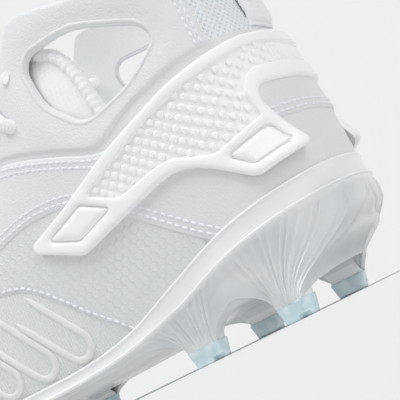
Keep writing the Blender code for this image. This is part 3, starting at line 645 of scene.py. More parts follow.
def draw_lining(knob):
    place = knob.object_place()
    holes = knob.cells(place, 900.0)
    tone = knob.noise(place, 60.0)
    colour = (holes * 0.8 + tone * 0.3).clip().blend(rgb(0.94, 0.95, 0.94), rgb(0.90, 0.915, 0.905))
    return colour, 0.85, 1 - holes, 0.06


leather = finish("white_leather", draw_leather, Coat_Weight=0.05, Coat_Roughness=0.4)
lining = finish("mesh_lining", draw_lining, Sheen_Weight=0.2)
print("made", leather.name, "and", lining.name)


# %% Knits and film
def draw_vamp_knit(knob):
    place = knob.object_place()
    along = place.part(0)
    rise = place.part(2)
    rows = (along * 5200.0 + (rise * 5600.0).sine() * 0.8).sine()
    speckle = knob.noise(place, 1500.0, 1.0)
    height = rows * 0.35 + speckle
    shade = (speckle * 1.5 - 0.25 + rows * 0.12).clip()
    colour = shade.blend(rgb(0.71, 0.735, 0.73), rgb(0.82, 0.835, 0.83))
    return colour, 0.7, height, 0.22


def draw_collar_knit(knob):
    along, rise = knob.flat_place()
    dots = (along * 2600.0).sine() * (rise * 2600.0).sine()
    loops = (along * 6200.0 + (rise * 6200.0).sine()).sine()
    mask = dots.step(0.25, 0.75)
    colour = mask.blend(rgb(0.88, 0.895, 0.91), rgb(0.70, 0.79, 0.89))
    return colour, 0.8, loops * 0.3 - mask * 0.7, 0.28


SCALE_ACROSS = 3.3 * MM
SCALE_LEAN = math.radians(26)


def hexagons(along, rise, across, lean):
    """0 in the middle of six-sided cells and 1 on the ridges between them, and each cell's slope."""
    c = math.cos(lean)
    s = math.sin(lean)
    wide = along * (c / (across * math.sqrt(3))) + rise * (s / (across * math.sqrt(3)))
    tall = rise * (c / across) - along * (s / across)

    def cell(shift):
        x = (wide + shift).math("FRACT", wide + shift) - 0.5
        y = (tall + shift).math("FRACT", tall + shift) - 0.5
        return x, y, x * x * 3 + y * y

    ax, ay, a_far = cell(0.0)
    bx, by, b_far = cell(0.5)
    first = a_far.math("LESS_THAN", a_far, b_far)
    x = first * ax + (1 - first) * bx
    y = first * ay + (1 - first) * by
    x_far = x.math("ABSOLUTE", x)
    y_far = y.math("ABSOLUTE", y)
    edge = x_far.math("MAXIMUM", y_far, x_far * 1.5 + y_far * 0.5)
    return edge.step(0.36, 0.5), y


def draw_scale_film(knob):
    along, rise = knob.flat_place()
    ridge, slope = hexagons(along, rise, SCALE_ACROSS, SCALE_LEAN)
    speckle = knob.noise(knob.object_place(), 1300.0, 1.0)
    # Each scale's slope also goes into the colour, so one side of every scale is lighter and the other
    # darker: painted shading.
    shade = (ridge * 0.55 + slope * 0.5 + speckle * 0.35 + 0.05).clip()
    colour = shade.blend(rgb(0.72, 0.74, 0.75), rgb(0.80, 0.81, 0.815))
    return colour, 0.42 - ridge * 0.12, ridge + slope * 0.8, 0.13


def draw_welt_film(knob):
    tone = knob.noise(knob.object_place(), 400.0)
    return tone.blend(rgb(0.76, 0.77, 0.765), rgb(0.81, 0.815, 0.81)), 0.38, tone, 0.05


vamp_knit = finish("vamp_knit", draw_vamp_knit, Sheen_Weight=0.2)
collar_knit = finish("collar_knit", draw_collar_knit, Sheen_Weight=0.3)
scale_film = finish("scale_film", draw_scale_film, Coat_Weight=0.15, Coat_Roughness=0.3)
welt_film = finish("welt_film", draw_welt_film, Coat_Weight=0.15)
print("made", vamp_knit.name, collar_knit.name, scale_film.name, "and", welt_film.name)


# %% Rubber and plastics
def draw_rubber(knob):
    place = knob.object_place()
    tone = knob.noise(place, 40.0)
    fine = knob.noise(place, 2200.0, 1.0)
    return tone.blend(rgb(0.95, 0.95, 0.95), rgb(0.93, 0.935, 0.94)), 0.44 + fine * 0.14, fine, 0.02


def draw_plate(knob):
    """The band is painted lighter than the sails, a painted light on the band and a painted shade on the
    sails of one plastic. The plate's UV map tells them apart.
    """
    cloud = knob.noise(knob.object_place(), 45.0, 2.0)
    patches = cloud.step(0.3, 0.7)
    sail = knob.flat_place()[1].step(0.41, 0.47)
    # Painted light and shade: the band's colour is lighter and the sails' colour darker, though both are the
    # same plastic.
    band_tone_painted_lighter = patches.blend(rgb(0.84, 0.855, 0.865), rgb(0.89, 0.90, 0.905))
    sail_tone_painted_darker = patches.blend(rgb(0.67, 0.695, 0.71), rgb(0.76, 0.775, 0.785))
    colour = sail.blend(band_tone_painted_lighter, sail_tone_painted_darker)
    return colour, 0.20 + cloud * 0.1, cloud, 0.05


def draw_ice(knob):
    place = knob.object_place()
    cloud = knob.noise(place, 190.0, 2.0)
    spots = knob.cells(place, 260.0)
    mask = (cloud * 0.8 + (1 - spots) * 0.35).step(0.45, 0.85)
    return mask.blend(rgb(0.58, 0.72, 0.77), rgb(0.79, 0.88, 0.905)), 0.18 + cloud * 0.12, cloud, 0.06


rubber = finish("strap_rubber", draw_rubber)
milky = finish("milky_plate", draw_plate, Subsurface_Weight=0.5, Subsurface_Scale=0.0008,
               Subsurface_Radius=(1.0, 1.0, 1.0), Coat_Weight=0.25, Coat_Roughness=0.15)
ice = finish("ice_tips", draw_ice, Subsurface_Weight=0.4, Subsurface_Scale=0.001,
             Subsurface_Radius=(1.0, 1.0, 1.0), Coat_Weight=0.3, Coat_Roughness=0.1)
print("made", rubber.name, milky.name, "and", ice.name)


# %% Soft goods and thread
def draw_tongue_mesh(knob):
    holes = knob.cells(knob.object_place(), 480.0, "F1", 0.15)
    open_part = 1 - holes.step(0.15, 0.5)
    return open_part.blend(rgb(0.90, 0.91, 0.91), rgb(0.85, 0.865, 0.87)), 0.8, holes, 0.12


def draw_binding(knob):
    loops = knob.cells(knob.object_place(), 1300.0, "F1", 0.4)
    tone = knob.noise(knob.object_place(), 120.0)
    colour = (loops * 0.7 + tone * 0.3).blend(rgb(0.92, 0.925, 0.93), rgb(0.84, 0.855, 0.875))
    return colour, 0.85, 1 - loops, 0.15


def draw_foam_cloth(knob):
    threads = knob.cells(knob.object_place(), 900.0, "F1", 0.3)
    return threads.blend(rgb(0.74, 0.77, 0.80), rgb(0.56, 0.60, 0.64)), 0.9, 1 - threads, 0.2


def draw_lace(knob):
    round_way, along = knob.flat_place()
    slant = round_way * 25.13
    one = (along * 900.0 + slant).sine()
    two = (along * 900.0 - slant).sine()
    weave = one.math("MAXIMUM", one, two)
    colour = weave.step(-0.3, 1.0).blend(rgb(0.88, 0.89, 0.90), rgb(0.95, 0.95, 0.95))
    return colour, 0.8, weave, 0.07


def draw_webbing(knob):
    along, rise = knob.flat_place()
    cross = (along * 220.0).sine() * (rise * 330.0).sine()
    colour = cross.step(-0.6, 0.8).blend(rgb(0.90, 0.91, 0.935), rgb(0.95, 0.955, 0.96))
    return colour, 0.75, cross, 0.06


def draw_thread(knob):
    twist = knob.noise(knob.object_place(), 3200.0, 1.0)
    return twist.blend(rgb(0.80, 0.82, 0.87), rgb(0.90, 0.91, 0.93)), 0.6, twist, 0.05


def draw_floor(knob):
    tone = knob.noise(knob.object_place(), 3.0)
    return tone.blend(rgb(0.715, 0.715, 0.715), rgb(0.725, 0.725, 0.725)), 0.9, None, 0.0


tongue_mesh = finish("tongue_mesh", draw_tongue_mesh, Sheen_Weight=0.2)
binding_knit = finish("binding_knit", draw_binding, Sheen_Weight=0.3)
foam_cloth = finish("insole_cloth", draw_foam_cloth)
lace_weave = finish("lace_weave", draw_lace, Sheen_Weight=0.3)
webbing = finish("tab_webbing", draw_webbing, Sheen_Weight=0.2)
thread = finish("sewing_thread", draw_thread, Sheen_Weight=0.2)
floor.data.materials.append(finish("pale_floor", draw_floor, Specular_IOR_Level=0.0))
print(len(bpy.data.materials), "materials")

# %% [markdown]
# ## Studs and plate: where the studs stand
# Twelve studs carry the plate. The plate's side is drawn out into fluted sails that run down to each stud,
# so each stud owns a stretch of the girth. Between two studs the lower edge of the plate rises in an arch.
# A row gives a stud's name, its place along and across the foot in mm, its turn and its sail's share.

# %% Stud places
STUD_ROWS = (
    ("heel_outer_back", 24, -30, -20, 1.0),
    ("heel_inner_back", 32, 32, 8, 1.0),
    ("heel_outer_front", 60, -31, 0, 1.0),
    ("heel_inner_front", 70, 30.5, 0, 1.0),
    ("ball_outer_back", 158, -32, 8, 0.8),
    ("ball_inner_back", 163, 31, -10, 0.8),
    ("ball_outer_middle", 192, -35, 3, 0.8),
    ("ball_inner_middle", 198, 36, 0, 0.8),
    ("ball_outer_front", 225, -31, -10, 0.8),
    ("ball_inner_front", 231, 36, 12, 0.8),
    ("toe_outer", 256, -15, -28, 0.55),
    ("toe_inner", 260, 22, 30, 0.55),
)
TIP_LENGTH = 13.6 * MM
TIP_WIDTH = 8.6 * MM
TIP_HEIGHT = 6.0 * MM
TIP_TAPER = 0.84
TIP_CORNER = 2.0 * MM
NOTCH_TALL = 3.2 * MM
SAIL_REACH = 20 * MM
SAIL_APART = 8 * MM
REAR_SAIL = 14 * MM
TOE_APART = 4 * MM


def stud_stand(station, offset, turn):
    """Frame of a stud tip on the floor: its length runs along the sole."""
    middle = last("middle", station * MM)
    spot = Vector((HEEL_BACK_X - station * MM, HEEL_MIDDLE_Y + middle + offset * MM, 0.0))
    return Matrix.Translation(spot) @ Matrix.Rotation(math.radians(turn), 4, "Z")


def stud_girth(station, offset):
    """Girth of the last's plane that passes through a stud."""
    if station * MM < HEEL_AXIS:
        return HEEL_ARC * math.atan2(abs(offset), HEEL_AXIS / MM - station) / (math.pi / 2)
    if station * MM > TOE_AXIS:
        turn = math.atan2(station - TOE_AXIS / MM, abs(offset))
        return HEEL_ARC + MID_LENGTH + TOE_ARC * turn / (math.pi / 2)
    return HEEL_ARC + station * MM - HEEL_AXIS


def stud_spans(side):
    """(girth from, middle, to, frame) of the sail of every stud on one side."""
    studs = []
    for _, station, offset, turn, spread in STUD_ROWS:
        if offset * side > 0:
            stand = stud_stand(station, offset, turn)
            studs.append((stud_girth(station, offset), SAIL_REACH * spread, stand))
    studs.sort(key=lambda stud: stud[0])
    spans = []
    for k, (middle, reach, stand) in enumerate(studs):
        low = middle - reach
        high = middle + reach
        if k == 0:
            low = REAR_SAIL
        elif studs[k - 1][0] + studs[k - 1][1] > low - SAIL_APART:
            low = (studs[k - 1][0] + middle) / 2
        if k < len(studs) - 1 and studs[k + 1][0] - studs[k + 1][1] < high + SAIL_APART:
            high = (studs[k + 1][0] + middle) / 2
        spans.append((low, middle, min(high, GIRTH_END - TOE_APART), stand))
    return spans


SPANS = {side: stud_spans(side) for side in (-1, 1)}
print("sails on the outer side:", [tuple(round(g / MM) for g in span[:3]) for span in SPANS[-1]])

# %% [markdown]
# ## Plate
# The plate is one moulding: bed, wall with a thin bright lip, smooth band, crisp step and fluted sails.
# It could be carved from a box, but its sails follow the girth, so it is a net wrapped round the last:
# each column of the net runs from the bed over the wall and down a sail, and back underneath.

# %% Plate's measures
SEAT = QUARTER_WALL + GAP
LIP_ROUND = ((0.0, -0.5), (0.3, -0.05), (0.9, 0.1), (1.35, -0.1), (1.6, -0.7), (1.35, -1.2))
BAND_WIDE = 2.1 * MM
BAND_ROWS = 5
BAND_SHARE = 0.42
BAND_MOST = 7 * MM
STEP_ROUND = ((2.8, 0.15), (3.1, 0.45), (3.1, 0.85), (2.6, 1.3))
SAIL_ROWS = 18
FLUTE_DEPTH = 0.6 * MM
FLUTES = 13
FLUTE_EDGE = 0.016
LEG_SHARE = 0.74
FOOT_ALONG = TIP_LENGTH * 0.47
FOOT_ACROSS = TIP_WIDTH * 0.5
FOOT_ROUND = 0.9 * MM
FOOT_Z = TIP_HEIGHT - 0.2 * MM
UPPER_CLEAR = 0.9 * MM
UPPER_FADE = 8 * MM
REAR_SUNK = 6.0 * MM
REAR_ARCH = 11.0 * MM
REAR_TURN = 28.0 * MM
SLOT_WIDE = 0.9 * MM
SLOT_DEEP = 0.8 * MM
SAIL_WALL = 1.6 * MM
PLATE_COLUMNS = 1040
print("sails of", SAIL_ROWS, "rows with", FLUTES, "flutes each")


# %% Plate's sails
def sail_foot(girth, side, arch):
    """Where a column of the sail ends, its share across the sail, its flutes' depth and how late it turns.

    It ends on a stud tip's outer edge or up on the arch beside it. Behind the rearmost sail a smooth web
    runs up from the tip's corner to a low arch at the back of the heel.
    """
    rear, _, _, stand = SPANS[side][0]
    if girth < rear:
        climb = 1 - girth / rear
        corner = stand @ Vector((FOOT_ALONG, side * (FOOT_ACROSS - FOOT_ROUND), FOOT_Z))
        spot = corner.lerp(arch, climb)
        spot.z = corner.z + (arch.z - corner.z) * (1 - (1 - climb) ** 2.2)
        return spot, None, 0.0, 1.0
    for n, (low, middle, high, stand) in enumerate(SPANS[side]):
        if not low <= girth <= high:
            continue
        share = (girth - middle) / (high - middle if girth > middle else middle - low)
        flute = (girth - low) / (high - low)
        leg = 1.0 if n == 0 and share < 0 else LEG_SHARE
        along = min(abs(share) / leg, 1.0) * math.copysign(1, share)
        reach = FOOT_ACROSS - FOOT_ROUND * along ** 4
        foot = stand @ Vector((-along * FOOT_ALONG, side * reach, FOOT_Z))
        past = max(abs(share) - leg, 0.0) / (1 - LEG_SHARE)
        spot = foot.lerp(arch, past ** 1.15)
        spot.z = foot.z + (arch.z - foot.z) * past ** 0.62
        return spot, flute, 1 - past ** 3, share * share if leg == 1.0 else 0.0
    return arch, None, 0.0, 0.0


def beyond_upper(spot, side):
    """A sail's point, moved out where the upper's foot would come through. The move fades below the foot."""
    station = HEEL_BACK_X - spot.x
    offset = spot.y - HEEL_MIDDLE_Y - last("middle", station)
    plane = plane_at(round(stud_girth(station / MM, offset / MM), 6), side)
    wide = (spot - plane.place(0.0, spot.z)).dot(plane.outward())
    short = plane.width(max(spot.z, plane.bed)) + SEAT + UPPER_CLEAR - wide
    fade = 1 - ease((plane.bed - spot.z) / UPPER_FADE)
    return spot + plane.outward() * max(short, 0.0) * fade


def flute_swell(flute, depth, t):
    """How far a flute's ridge stands out, at a place across the sail and a share of the way down."""
    wave = -abs(math.sin(math.pi * FLUTES * (flute + 0.012 * math.sin(31 * flute)))) ** 0.8
    edge = math.exp(-(flute / FLUTE_EDGE) ** 2) + math.exp(-((1 - flute) / FLUTE_EDGE) ** 2)
    swell = FLUTE_DEPTH * (wave * 1.2 + 0.6 + 0.8 * edge)
    return swell * ease(t / 0.12) * (1 - 0.55 * ease((t - 0.55) / 0.45)) * max(depth, 0.35)


def slot_cut(girth, t):
    """Depth of the slanting slot in the web behind the rearmost sail."""
    slot = (girth - (1.5 + 13 * (t - 0.22)) * MM) / SLOT_WIDE
    return SLOT_DEEP * math.exp(-slot * slot) * ease((t - 0.15) / 0.1) * ease((0.85 - t) / 0.15)


def sail_spots(plane, girth, side, start, arch):
    """Points of one column down a sail, from the band's step to its foot."""
    foot, flute, depth, late = sail_foot(girth, side, arch)
    drop = foot - start
    first = start + Vector((drop.x * 0.42, drop.y * 0.42, drop.z * 0.30))
    second = foot - Vector((drop.x * 0.06, drop.y * 0.06, drop.z * 0.40))
    spots = []
    for k in range(1, SAIL_ROWS + 1):
        t = k / SAIL_ROWS
        back = 1 - t
        spot = start * back ** 3 + first * 3 * t * back ** 2 + second * 3 * t * t * back + foot * t ** 3
        turned = start + drop * ease((REAR_TURN - start.z - drop.z * t) / (REAR_TURN - foot.z))
        turned.z = start.z + drop.z * t
        spot = beyond_upper(spot.lerp(turned, late), side)
        if flute is not None:
            spot = spot + plane.outward() * flute_swell(flute, depth, t)
        elif girth < SPANS[side][0][0]:
            spot = spot - plane.outward() * slot_cut(girth, t)
        spots.append(spot)
    return spots


# %% Plate
def wall_spots(plane, wall, band):
    """Points up the inside of the wall, over its lip, down the band and over the step."""
    places = [(wide * MM, wall + rise * MM) for wide, rise in LIP_ROUND]
    lip, below = places[-1]
    for k in range(1, BAND_ROWS + 1):
        t = k / BAND_ROWS
        places.append((lip + (BAND_WIDE - lip) * t * t, below + (band - below) * t))
    places += [(wide * MM, band - drop * MM) for wide, drop in STEP_ROUND]
    return [plane.place(plane.width(max(z, plane.bed)) + SEAT + wide, z) for wide, z in places]


def plate_column(girth, side):
    """Points of one column of the plate's net."""
    plane = plane_at(round(girth, 6), side)
    wall = last("wall", plane.foot)
    under = last("under", plane.foot)
    band = wall - min(BAND_SHARE * (wall - under), BAND_MOST)
    foot_wide = plane.width(plane.bed)
    halfway = last("bed", plane.station + plane.out[0] * foot_wide * 0.6)
    spots = [
        plane.place(0.0, last("bed", plane.station) - GAP),
        plane.place((foot_wide + SEAT) * 0.6, halfway - GAP),
        plane.place(foot_wide + SEAT, plane.bed - GAP),
    ]
    spots += wall_spots(plane, wall, band)
    arch = plane.place(foot_wide + SEAT - 0.4 * MM, under + 2.2 * MM)
    if girth < SPANS[side][0][0]:
        arch = plane.place(foot_wide + SEAT - REAR_SUNK, REAR_ARCH)
    spots += sail_spots(plane, girth, side, spots[-1], arch)
    inner = spots[-1] - plane.outward() * SAIL_WALL
    roof = plane.place(max(foot_wide - 7.0 * MM, 0.3 * foot_wide), under)
    spots += [
        inner,
        inner.lerp(roof, 0.5) + Vector((0, 0, 0.2 * (roof.z - inner.z))),
        roof,
        plane.place(0.4 * foot_wide, last("under", plane.station + plane.out[0] * foot_wide * 0.4)),
        plane.place(0.0, last("under", plane.station)),
    ]
    return spots


def ring_spot(u):
    """Girth and side at a share of the way round: out along the outer side, back along the inner side."""
    if u <= 0.5:
        return 2 * u * GIRTH_END, -1
    return 2 * (1 - u) * GIRTH_END, 1


columns = [plate_column(*ring_spot(k / PLATE_COLUMNS)) for k in range(PLATE_COLUMNS + 1)]
rows = len(columns[0]) - 1
plate = net("sole_plate", PLATE_COLUMNS, rows,
            lambda u, v: columns[round(u * PLATE_COLUMNS)][round(v * rows)])
weld(plate)
smoothed(plate, 40)
print("plate", len(plate.data.polygons), "faces")

# %% [markdown]
# ## Stems behind the sails
# Inside each sail a solid stem stands on the tip and runs up into the plate. A net rolled into a tube
# does it: its rings are squared to the tip's outline at the bottom and spread under the plate at the top.

# %% Stems
STEM_ALONG = FOOT_ALONG
STEM_ACROSS = TIP_WIDTH * 0.46
STEM_FLARE = 0.45
STEM_LEAN = 7.5 * MM
STEM_FOOT = TIP_HEIGHT - 0.3 * MM


def stem_spot(stand, side, top_z, u, v):
    """A point of a stem: u goes round it and v up it."""
    turn = 2 * math.pi * u
    square = (abs(math.cos(turn)) ** 4 + abs(math.sin(turn)) ** 4) ** -0.25
    flare = 1 + STEM_FLARE * v ** 2.2
    x = math.cos(turn) * square * STEM_ALONG * flare
    y = math.sin(turn) * square * STEM_ACROSS * flare - side * STEM_LEAN * v ** 1.6
    spot = stand @ Vector((x, y, 0.0))
    spot.z = STEM_FOOT + (top_z - STEM_FOOT) * v
    return spot


stems = []
for name, station, offset, turn, _ in STUD_ROWS:
    stand = stud_stand(station, offset, turn)
    top_z = last("under", station * MM) + 1.5 * MM
    stem = net("stem_" + name, 40, 8, functools.partial(stem_spot, stand, math.copysign(1, offset), top_z))
    weld(stem)
    smoothed(stem)
    stems.append(stem)
plate = joined([plate] + stems, "sole_plate")
dressed(plate, milky, "plate", "outsole")

# %% [markdown]
# ## Stud tips
# A tip is a small tapered block with round corners, a chamfered bottom edge and a step cut out of
# one corner. All twelve are alike, so one is modelled by hand from a cube, with bevels and a Boolean cut,
# and copied to every stud. The outer side's copies are mirrored.

# %% Stud tips
bpy.ops.object.select_all(action="DESELECT")
bpy.ops.mesh.primitive_cube_add(size=1.0)
tip = bpy.context.object
tip.data.transform(Matrix.Diagonal((TIP_LENGTH, TIP_WIDTH, TIP_HEIGHT, 1.0)))
tip.data.transform(Matrix.Translation((0, 0, TIP_HEIGHT / 2)))
for vert in tip.data.vertices:
    if vert.co.z < 1 * MM:
        vert.co.x *= TIP_TAPER
        vert.co.y *= TIP_TAPER


def bevel_edges(piece, test, offset, segments):
    """Bevels the edges whose two ends pass a test."""
    only(piece)
    points = piece.data.vertices
    for part in (piece.data.vertices, piece.data.edges, piece.data.polygons):
        for item in part:
            item.select = False
    for edge in piece.data.edges:
        edge.select = test(*(points[k].co for k in edge.vertices))
    bpy.context.tool_settings.mesh_select_mode = (False, True, False)
    bpy.ops.object.mode_set(mode="EDIT")
    bpy.ops.mesh.bevel(offset=offset, segments=segments, affect="EDGES")
    bpy.ops.object.mode_set(mode="OBJECT")


bevel_edges(tip, lambda a, b: abs(a.z - b.z) > 3 * MM, TIP_CORNER, 5)
bpy.ops.object.select_all(action="DESELECT")
bpy.ops.mesh.primitive_cube_add(size=1.0, location=(TIP_LENGTH * 0.36, TIP_WIDTH * 0.42, 0))
notch = bpy.context.object
notch.scale = (TIP_LENGTH * 0.4, TIP_WIDTH * 0.6, NOTCH_TALL)
bpy.context.view_layer.update()
modified(tip, "BOOLEAN", operation="DIFFERENCE", object=notch, solver="EXACT")
bpy.data.objects.remove(notch)
modified(tip, "BEVEL", width=0.4 * MM, segments=3, limit_method="ANGLE", angle_limit=math.radians(40))
smoothed(tip, 35)
for name, station, offset, turn, _ in STUD_ROWS:
    copy = tip.copy()
    copy.data = tip.data.copy()
    scene.collection.objects.link(copy)
    if offset < 0:
        copy.data.transform(Matrix.Diagonal((1, -1, 1, 1)))
        copy.data.flip_normals()
    copy.data.transform(stud_stand(station, offset, turn))
    copy.name = copy.data.name = "tip_" + name
    dressed(copy, ice, "tip", "stud_tip_" + name)
bpy.data.objects.remove(tip)

# %% [markdown]
# ## Upper
# The upper is pulled over the last as one skin. Its net follows the girth, with extra rows where the padded
# ankle wing steps up, so the step is crisp. The ankle cut-out is made by taking faces out and drawing
# the points on its edge to the outline. A Solidify modifier gives the wall its thickness, more on the wing.

# %% Flat outlines
ARC_STEP = math.radians(14)
ANKLE_HOLE = ((102.9, 129.9, 6), (98, 107.7, 23), (83.6, 92.2, 12), (60.6, 95.1, 30), (45.1, 103.6, 4.4),
              (48.5, 111.2, 10), (74.3, 126.2, 35))


def filleted(corners):
    """Points of a closed outline whose corners (along, up, radius) in mm are rounded by arcs."""
    points = []
    for k, (along, rise, radius) in enumerate(corners):
        corner = Vector((along, rise)) * MM
        if radius == 0:
            points.append(corner)
            continue
        before = Vector(corners[k - 1][:2]) * MM - corner
        after = Vector(corners[(k + 1) % len(corners)][:2]) * MM - corner
        half = before.angle(after) / 2
        back = min(radius * MM / math.tan(half), 0.48 * before.length, 0.48 * after.length)
        radius = back * math.tan(half)
        middle = corner + (before.normalized() + after.normalized()).normalized() * radius / math.sin(half)
        start = corner + before.normalized() * back - middle
        end = corner + after.normalized() * back - middle
        sweep = start.angle_signed(end)
        steps = max(1, math.ceil(abs(sweep) / ARC_STEP))
        for n in range(steps + 1):
            points.append(middle + Matrix.Rotation(-sweep * n / steps, 2) @ start)
    return points


def paced(points, pitch, closed=True):
    """The same line with points about one pitch apart."""
    ends = points + points[:1] if closed else points
    far = [0.0]
    for a, b in zip(ends, ends[1:]):
        far.append(far[-1] + (b - a).length)
    count = max(8 if closed else 2, round(far[-1] / pitch))
    made = []
    k = 0
    for n in range(count if closed else count + 1):
        at = far[-1] * n / count
        while k < len(far) - 2 and far[k + 1] < at:
            k += 1
        made.append(ends[k].lerp(ends[k + 1], (at - far[k]) / max(far[k + 1] - far[k], 1e-9)))
    return made


def area(points):
    """Area of a closed outline, negative where it runs clockwise."""
    return sum(a.x * b.y - b.x * a.y for a, b in zip(points, points[1:] + points[:1])) / 2


def inset(points, depth):
    """A closed outline moved to its inside by a depth, or out where the depth is negative."""
    turn = 1 if area(points) > 0 else -1
    moved = []
    for k, point in enumerate(points):
        run = (points[(k + 1) % len(points)] - points[k - 1]).normalized()
        moved.append(point + Vector((-run.y, run.x)) * depth * turn)
    return moved


def inside(point, outline):
    """Whether a flat point lies in a closed outline."""
    found = False
    before = outline[-1]
    for after in outline:
        if (after.y > point.y) != (before.y > point.y):
            if point.x < (before.x - after.x) * (point.y - after.y) / (before.y - after.y) + after.x:
                found = not found
        before = after
    return found


def finder(points):
    """A tree that finds the nearest of some flat points."""
    tree = kdtree.KDTree(len(points))
    for k, point in enumerate(points):
        tree.insert((point.x, point.y, 0.0), k)
    tree.balance()
    return tree


hole_line = paced(filleted(ANKLE_HOLE), 0.5 * MM)
hole_edge = inset(hole_line, -1.0 * MM)
hole_near = finder(hole_line)
edge_near = finder(hole_edge)
print("cut-out", round(abs(area(hole_line)) / MM / MM), "square mm")

# %% Upper's net
UPPER_GIRTHS = [k * 1.8 * MM for k in range(17)]
UPPER_GIRTHS += [KNIT_EDGE + k * MM for k in (0.5, 1.0)]
UPPER_GIRTHS += [32.4 * MM + k * 1.44 * MM for k in range(15)]
UPPER_GIRTHS += [HEEL_ARC + k * 1.4 * MM for k in range(56)]
UPPER_GIRTHS += [132.4 * MM + k * 2.512 * MM for k in range(50)]
UPPER_GIRTHS += [HEEL_ARC + MID_LENGTH + TOE_ARC * k / 26 for k in range(27)]
BELOW = 34
ABOVE = 32
WING_STEP = ((-0.8, 0.0), (-0.3, 0.1), (0.1, 0.5), (0.5, 0.86), (1.2, 1.0))
COLLAR_SOFT = ((2.4, 1.0), (1.2, 0.97), (0.45, 0.86), (0.0, 0.6))

ring = [(g, -1) for g in UPPER_GIRTHS] + [(g, 1) for g in reversed(UPPER_GIRTHS)]
ring_rows = BELOW + len(WING_STEP) + ABOVE + len(COLLAR_SOFT) - 2
flat = []
wall_share = []
upper_points = []
for girth, side in ring:
    plane, points, far, edge = section(round(girth, 6), side)
    on_wing = 0.0
    if plane.station < EYESTAY_END and plane.out[0] <= 0:
        on_wing = ease((girth - KNIT_EDGE + 0.2 * MM) / (1.0 * MM))
    first = edge + WING_STEP[0][0] * MM
    top_end = far[-1]
    spots = [(first * k / BELOW, 0.0, 1.0) for k in range(BELOW)]
    spots += [(edge + run * MM, share, 1.0) for run, share in WING_STEP]
    begin = edge + WING_STEP[-1][0] * MM
    until = max(top_end - COLLAR_SOFT[0][0] * MM, edge + 1.6 * MM)
    spots += [(begin + (until - begin) * k / ABOVE, 1.0, 1.0) for k in range(1, ABOVE)]
    soft = min(1.0, (top_end - until) / (COLLAR_SOFT[0][0] * MM))
    spots += [(top_end - run * MM * soft, 1.0, share) for run, share in COLLAR_SOFT]
    open_top = girth < COLLAR_FRONT or plane.station < THROAT_END
    for length, share, rim in spots:
        wide, z = point_along(points, far, length)
        thick = QUARTER_WALL + (WING_WALL - QUARTER_WALL) * share * on_wing
        thick *= rim if open_top else 1.0
        flat.append(Vector((side * girth, z)))
        wall_share.append(thick)
        upper_points.append(plane.place(wide, z))

columns_count = len(ring) - 1
upper = net("upper_skin", columns_count, ring_rows,
            lambda u, v: upper_points[round(u * columns_count) * (ring_rows + 1) + round(v * ring_rows)])
index = [(k % len(ring)) * (ring_rows + 1) + k // len(ring) for k in range(len(upper.data.vertices))]
print("upper net", len(upper.data.vertices), "points")

# %% Upper's cut-outs and wall
HOLE_DIP = ((0.0, -0.9), (2.0, -0.85), (4.0, -0.55), (7.0, -0.15), (10.0, 0.0))
WALL_MOST = 4 * MM
KNIT_LOW = 94 * MM
LEATHER, KNIT, COLLAR = 0, 1, 2


def ankle_zone(point):
    """Whether a flat point is near an ankle cut-out."""
    return 36 * MM < abs(point.x) < 118 * MM and point.y > 80 * MM


def upper_finish(girth, z):
    """Which of the upper's materials lies at a flat place."""
    if girth < KNIT_EDGE and z > KNIT_LOW:
        return COLLAR
    if girth > 100 * MM and z < 62 * MM or girth > 150 * MM:
        return KNIT
    return LEATHER


mesh = upper.data
thick_of = [wall_share[k] for k in index]
flat_of = [flat[k] for k in index]
drop = set()
for face in mesh.polygons:
    spots = [flat_of[k] for k in face.vertices]
    middle = sum(spots, Vector((0, 0))) / len(spots)
    if ankle_zone(middle) and inside(Vector((abs(middle.x), middle.y)), hole_edge):
        drop.add(face.index)
touch = {}
for face in mesh.polygons:
    for k in face.vertices:
        touch.setdefault(k, set()).add(face.index in drop)
for k, kinds in touch.items():
    spot = flat_of[k]
    if len(kinds) == 2:
        near, _, _ = edge_near.find((abs(spot.x), spot.y, 0.0))
        flat_of[k] = Vector((math.copysign(near.x, spot.x), near.y))
        mesh.vertices[k].co = on_last(flat_of[k].x, near.y, 0.0)[0]
    if ankle_zone(spot):
        away = hole_near.find((abs(flat_of[k].x), flat_of[k].y, 0.0))[2]
        thick_of[k] += curve(HOLE_DIP, away / MM) * MM
for face in mesh.polygons:
    face.select = face.index in drop
only(upper)
bpy.context.tool_settings.mesh_select_mode = (False, False, True)
wall_group = upper.vertex_groups.new(name="wall")
for k, thick in enumerate(thick_of):
    wall_group.add([k], thick / WALL_MOST, "REPLACE")
layer = mesh.uv_layers.active.data
for loop in mesh.loops:
    spot = flat_of[loop.vertex_index]
    layer[loop.index].uv = (spot.x, spot.y)
bpy.ops.object.mode_set(mode="EDIT")
bpy.ops.mesh.delete(type="FACE")
bpy.ops.object.mode_set(mode="OBJECT")
layer = mesh.uv_layers.active.data
for face in mesh.polygons:
    spots = [layer[k].uv for k in face.loop_indices]
    girth = abs(sum(uv.x for uv in spots) / len(spots))
    z = sum(uv.y for uv in spots) / len(spots)
    face.material_index = upper_finish(girth, z)
weld(upper)
sample = next(face for face in mesh.polygons if face.center.y < -0.03 and face.center.z < 0.06)
if sample.normal.y > 0:
    edit(upper, bpy.ops.mesh.flip_normals)
for paint in (leather, vamp_knit, collar_knit, lining, lining, lining):
    upper.data.materials.append(paint)
modified(upper, "SOLIDIFY", thickness=WALL_MOST, offset=1.0, vertex_group="wall", material_offset=3)
smoothed(upper, 50)
print("upper", len(upper.data.polygons), "faces")

# %% Cut-out's rolled rim
RIM_PROFILE = ((0.3, -0.2), (-0.35, -0.15), (-0.6, 0.15), (-0.55, 0.5), (-0.2, 0.75), (-0.1, 0.9),
               (-0.1, 1.6), (0.05, 2.1), (0.4, 2.38), (0.9, 2.46), (1.5, 2.4), (2.0, 2.1), (2.0, 0.9),
               (0.3, -0.2))
rim_line = paced(filleted(ANKLE_HOLE), 0.9 * MM)
rim_lines = [inset(rim_line, -away * MM) for away, _ in RIM_PROFILE]


